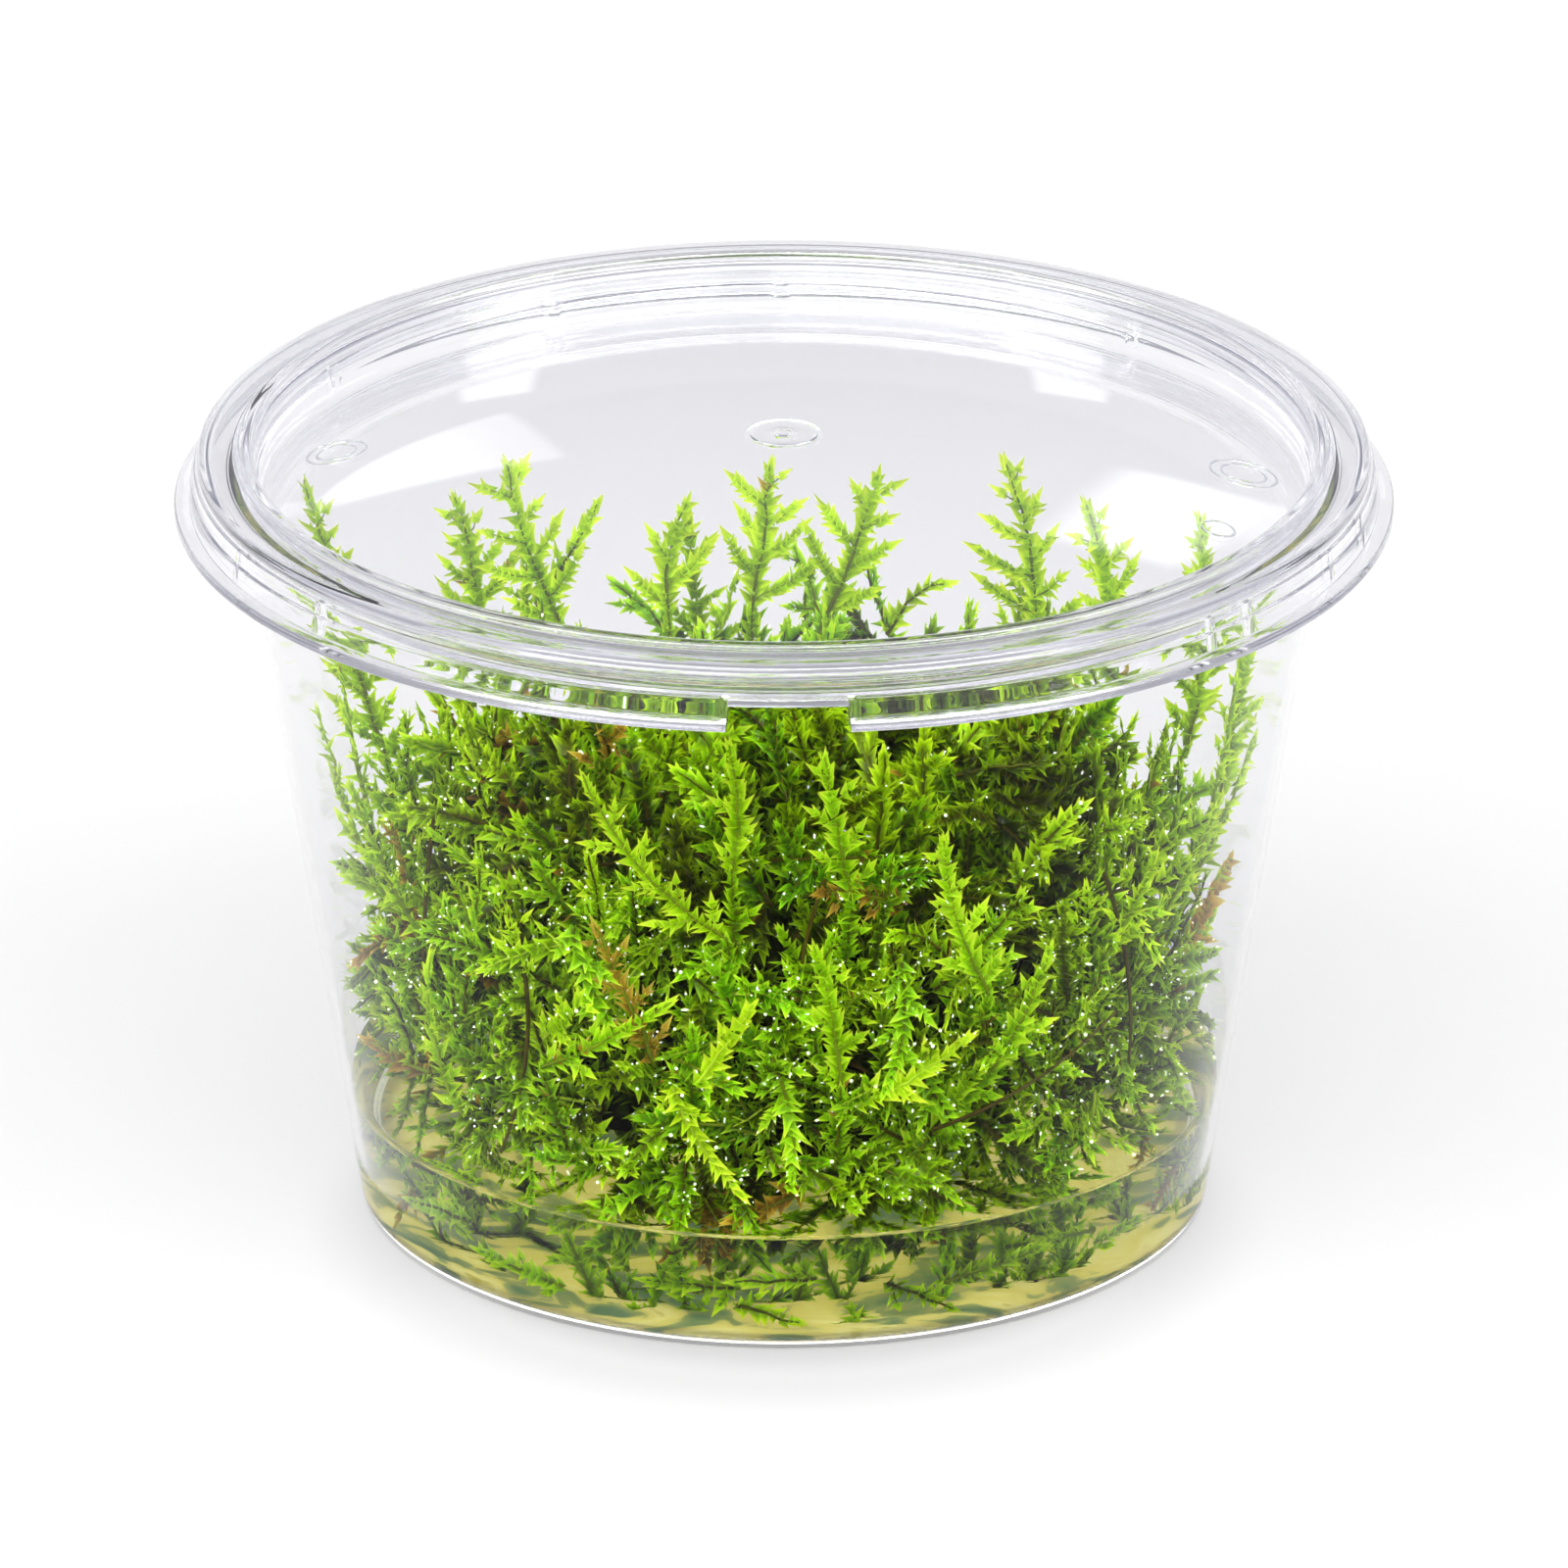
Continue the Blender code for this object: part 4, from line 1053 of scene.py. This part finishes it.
def build_world():
    world = bpy.data.worlds.new("studio")
    scene.world = world
    world.use_nodes = True
    n = Nodes(world.node_tree)

    def both(*values):
        total = values[0]
        for value in values[1:]:
            total = n.math("MULTIPLY", total, value)
        return total

    way = n.add("ShaderNodeTexCoord").outputs["Generated"]
    split = n.add("ShaderNodeSeparateXYZ")
    n.put(split.inputs[0], way)
    x, y, z = split.outputs
    up = n.step(z, -0.2, 1.0, smooth=False)
    ahead = n.ramp(up, [(0.0, (1.0, 1.0, 1.0)), (0.165, (1.0, 1.0, 1.0)), (0.18, (0.50, 0.50, 0.56)),
                        (0.29, (0.28, 0.28, 0.35)), (0.72, (0.28, 0.28, 0.35)), (1.0, (1.0, 1.0, 1.0))])
    behind = n.ramp(up, [(0.0, (1.0, 1.0, 1.0)), (0.165, (1.0, 1.0, 1.0)), (0.18, (0.34, 0.34, 0.37)),
                         (0.40, (0.34, 0.34, 0.37)), (0.55, (1.0, 1.0, 1.0)), (1.0, (1.0, 1.0, 1.0))])
    colour = n.mix(n.step(y, -0.30, 0.40), behind, ahead)
    # the wall behind: darker upwards, with a bowed edge, so that the lid's window stays clear
    side = n.math("DIVIDE", x, n.math("MAXIMUM", y, 0.01))
    square = n.math("MULTIPLY", side, side)
    far = n.math("ABSOLUTE", side)
    front = n.step(y, 0.0, 0.2)
    height = n.math("SUBTRACT", z, n.math("MULTIPLY", square, 3.7))
    wall = n.ramp(height, [(0.0, (0.66, 0.66, 0.71)), (0.10, (0.58, 0.58, 0.63)), (0.200, (0.54, 0.54, 0.58)),
                           (0.215, (0.47, 0.47, 0.51)), (0.36, (0.42, 0.42, 0.46)), (0.46, (0.38, 0.38, 0.42)),
                           (1.0, (0.38, 0.38, 0.42))])
    card = both(front, n.step(far, 0.36, 0.25), n.step(z, -0.002, 0.002), n.step(z, 0.86, 0.76))
    colour = n.mix(card, colour, wall)
    # two windows behind, cut off by the bowed edge below
    left = both(front, n.step(side, -0.225, -0.190), n.step(side, -0.094, -0.103),
                n.step(height, 0.203, 0.211), n.step(z, 0.392, 0.380), n.step(side, -0.085, -0.170, 0.40, 1.0))
    right = both(front, n.step(side, 0.138, 0.166), n.step(side, 0.240, 0.218),
                 n.step(z, 0.350, 0.372), n.step(z, 0.545, 0.520))
    # and two narrow ones at the level of the table
    lean = n.math("SUBTRACT", far, n.math("MULTIPLY", z, 0.155))
    low = both(front, n.step(lean, 0.050, 0.055), n.step(lean, 0.0775, 0.0725), n.step(z, 0.195, 0.185))
    # a softbox overhead
    over = n.step(z, 0.80, 0.90)
    total = n.math("ADD", n.math("ADD", left, n.math("MULTIPLY", right, 1.2)),
                   n.math("ADD", n.math("MULTIPLY", low, 0.55), n.math("MULTIPLY", over, 0.9)))
    for azimuth, elevation, wide, tall, strength, soft in WINDOWS:
        a, e = math.radians(azimuth), math.radians(elevation)
        centre = Vector((math.sin(a) * math.cos(e), math.cos(a) * math.cos(e), math.sin(e)))
        across = centre.cross(Vector((0, 0, 1))).normalized()
        top = across.cross(centre).normalized()
        toward = n.add("ShaderNodeVectorMath", operation="DOT_PRODUCT")
        n.put(toward.inputs[0], way)
        toward.inputs[1].default_value = centre
        depth = n.math("MAXIMUM", toward.outputs["Value"], 0.001)
        inside = n.step(toward.outputs["Value"], 0.0, 0.05)
        for axis, half in ((across, wide), (top, tall)):
            dot = n.add("ShaderNodeVectorMath", operation="DOT_PRODUCT")
            n.put(dot.inputs[0], way)
            dot.inputs[1].default_value = axis
            off = n.math("ABSOLUTE", n.math("DIVIDE", dot.outputs["Value"], depth))
            inside = n.math("MULTIPLY", inside, n.step(off, half * (1 + soft), half * (1 - soft)))
        total = n.math("ADD", total, n.math("MULTIPLY", inside, strength))
    glow = n.mix(1.0, colour, total, "ADD")
    background = n.add("ShaderNodeBackground")
    n.put(background.inputs[0], glow)
    background.inputs[1].default_value = 1.0
    world.cycles.sampling_method = "NONE"
    end = n.add("ShaderNodeOutputWorld")
    n.put(end.inputs[0], background.outputs[0])


def build_camera():
    data = bpy.data.cameras.new("camera")
    data.sensor_width, data.lens = 36.0, 498.5
    data.clip_start, data.clip_end = 0.05, 50.0
    camera = bpy.data.objects.new("camera", data)
    camera.location = (0.0, -1.6558, 0.7146)
    camera.rotation_euler = (math.radians(67.7), 0.0, 0.0)
    scene.collection.objects.link(camera)
    scene.camera = camera


scene.view_settings.view_transform = "Standard"
scene.view_settings.look = "None"
scene.view_settings.exposure = 0.0
scene.view_settings.gamma = 1.0
scene.cycles.max_bounces = 80
scene.cycles.transmission_bounces = 80
scene.cycles.glossy_bounces = 80
scene.cycles.diffuse_bounces = 3
scene.cycles.transparent_max_bounces = 16

build_camera()
build_floor()
build_world()
build_cup()
build_lid()
build_liquid()
build_bed()
build_shoots()
moss = build_mat()
build_core()
build_sprigs()
build_beads(moss)
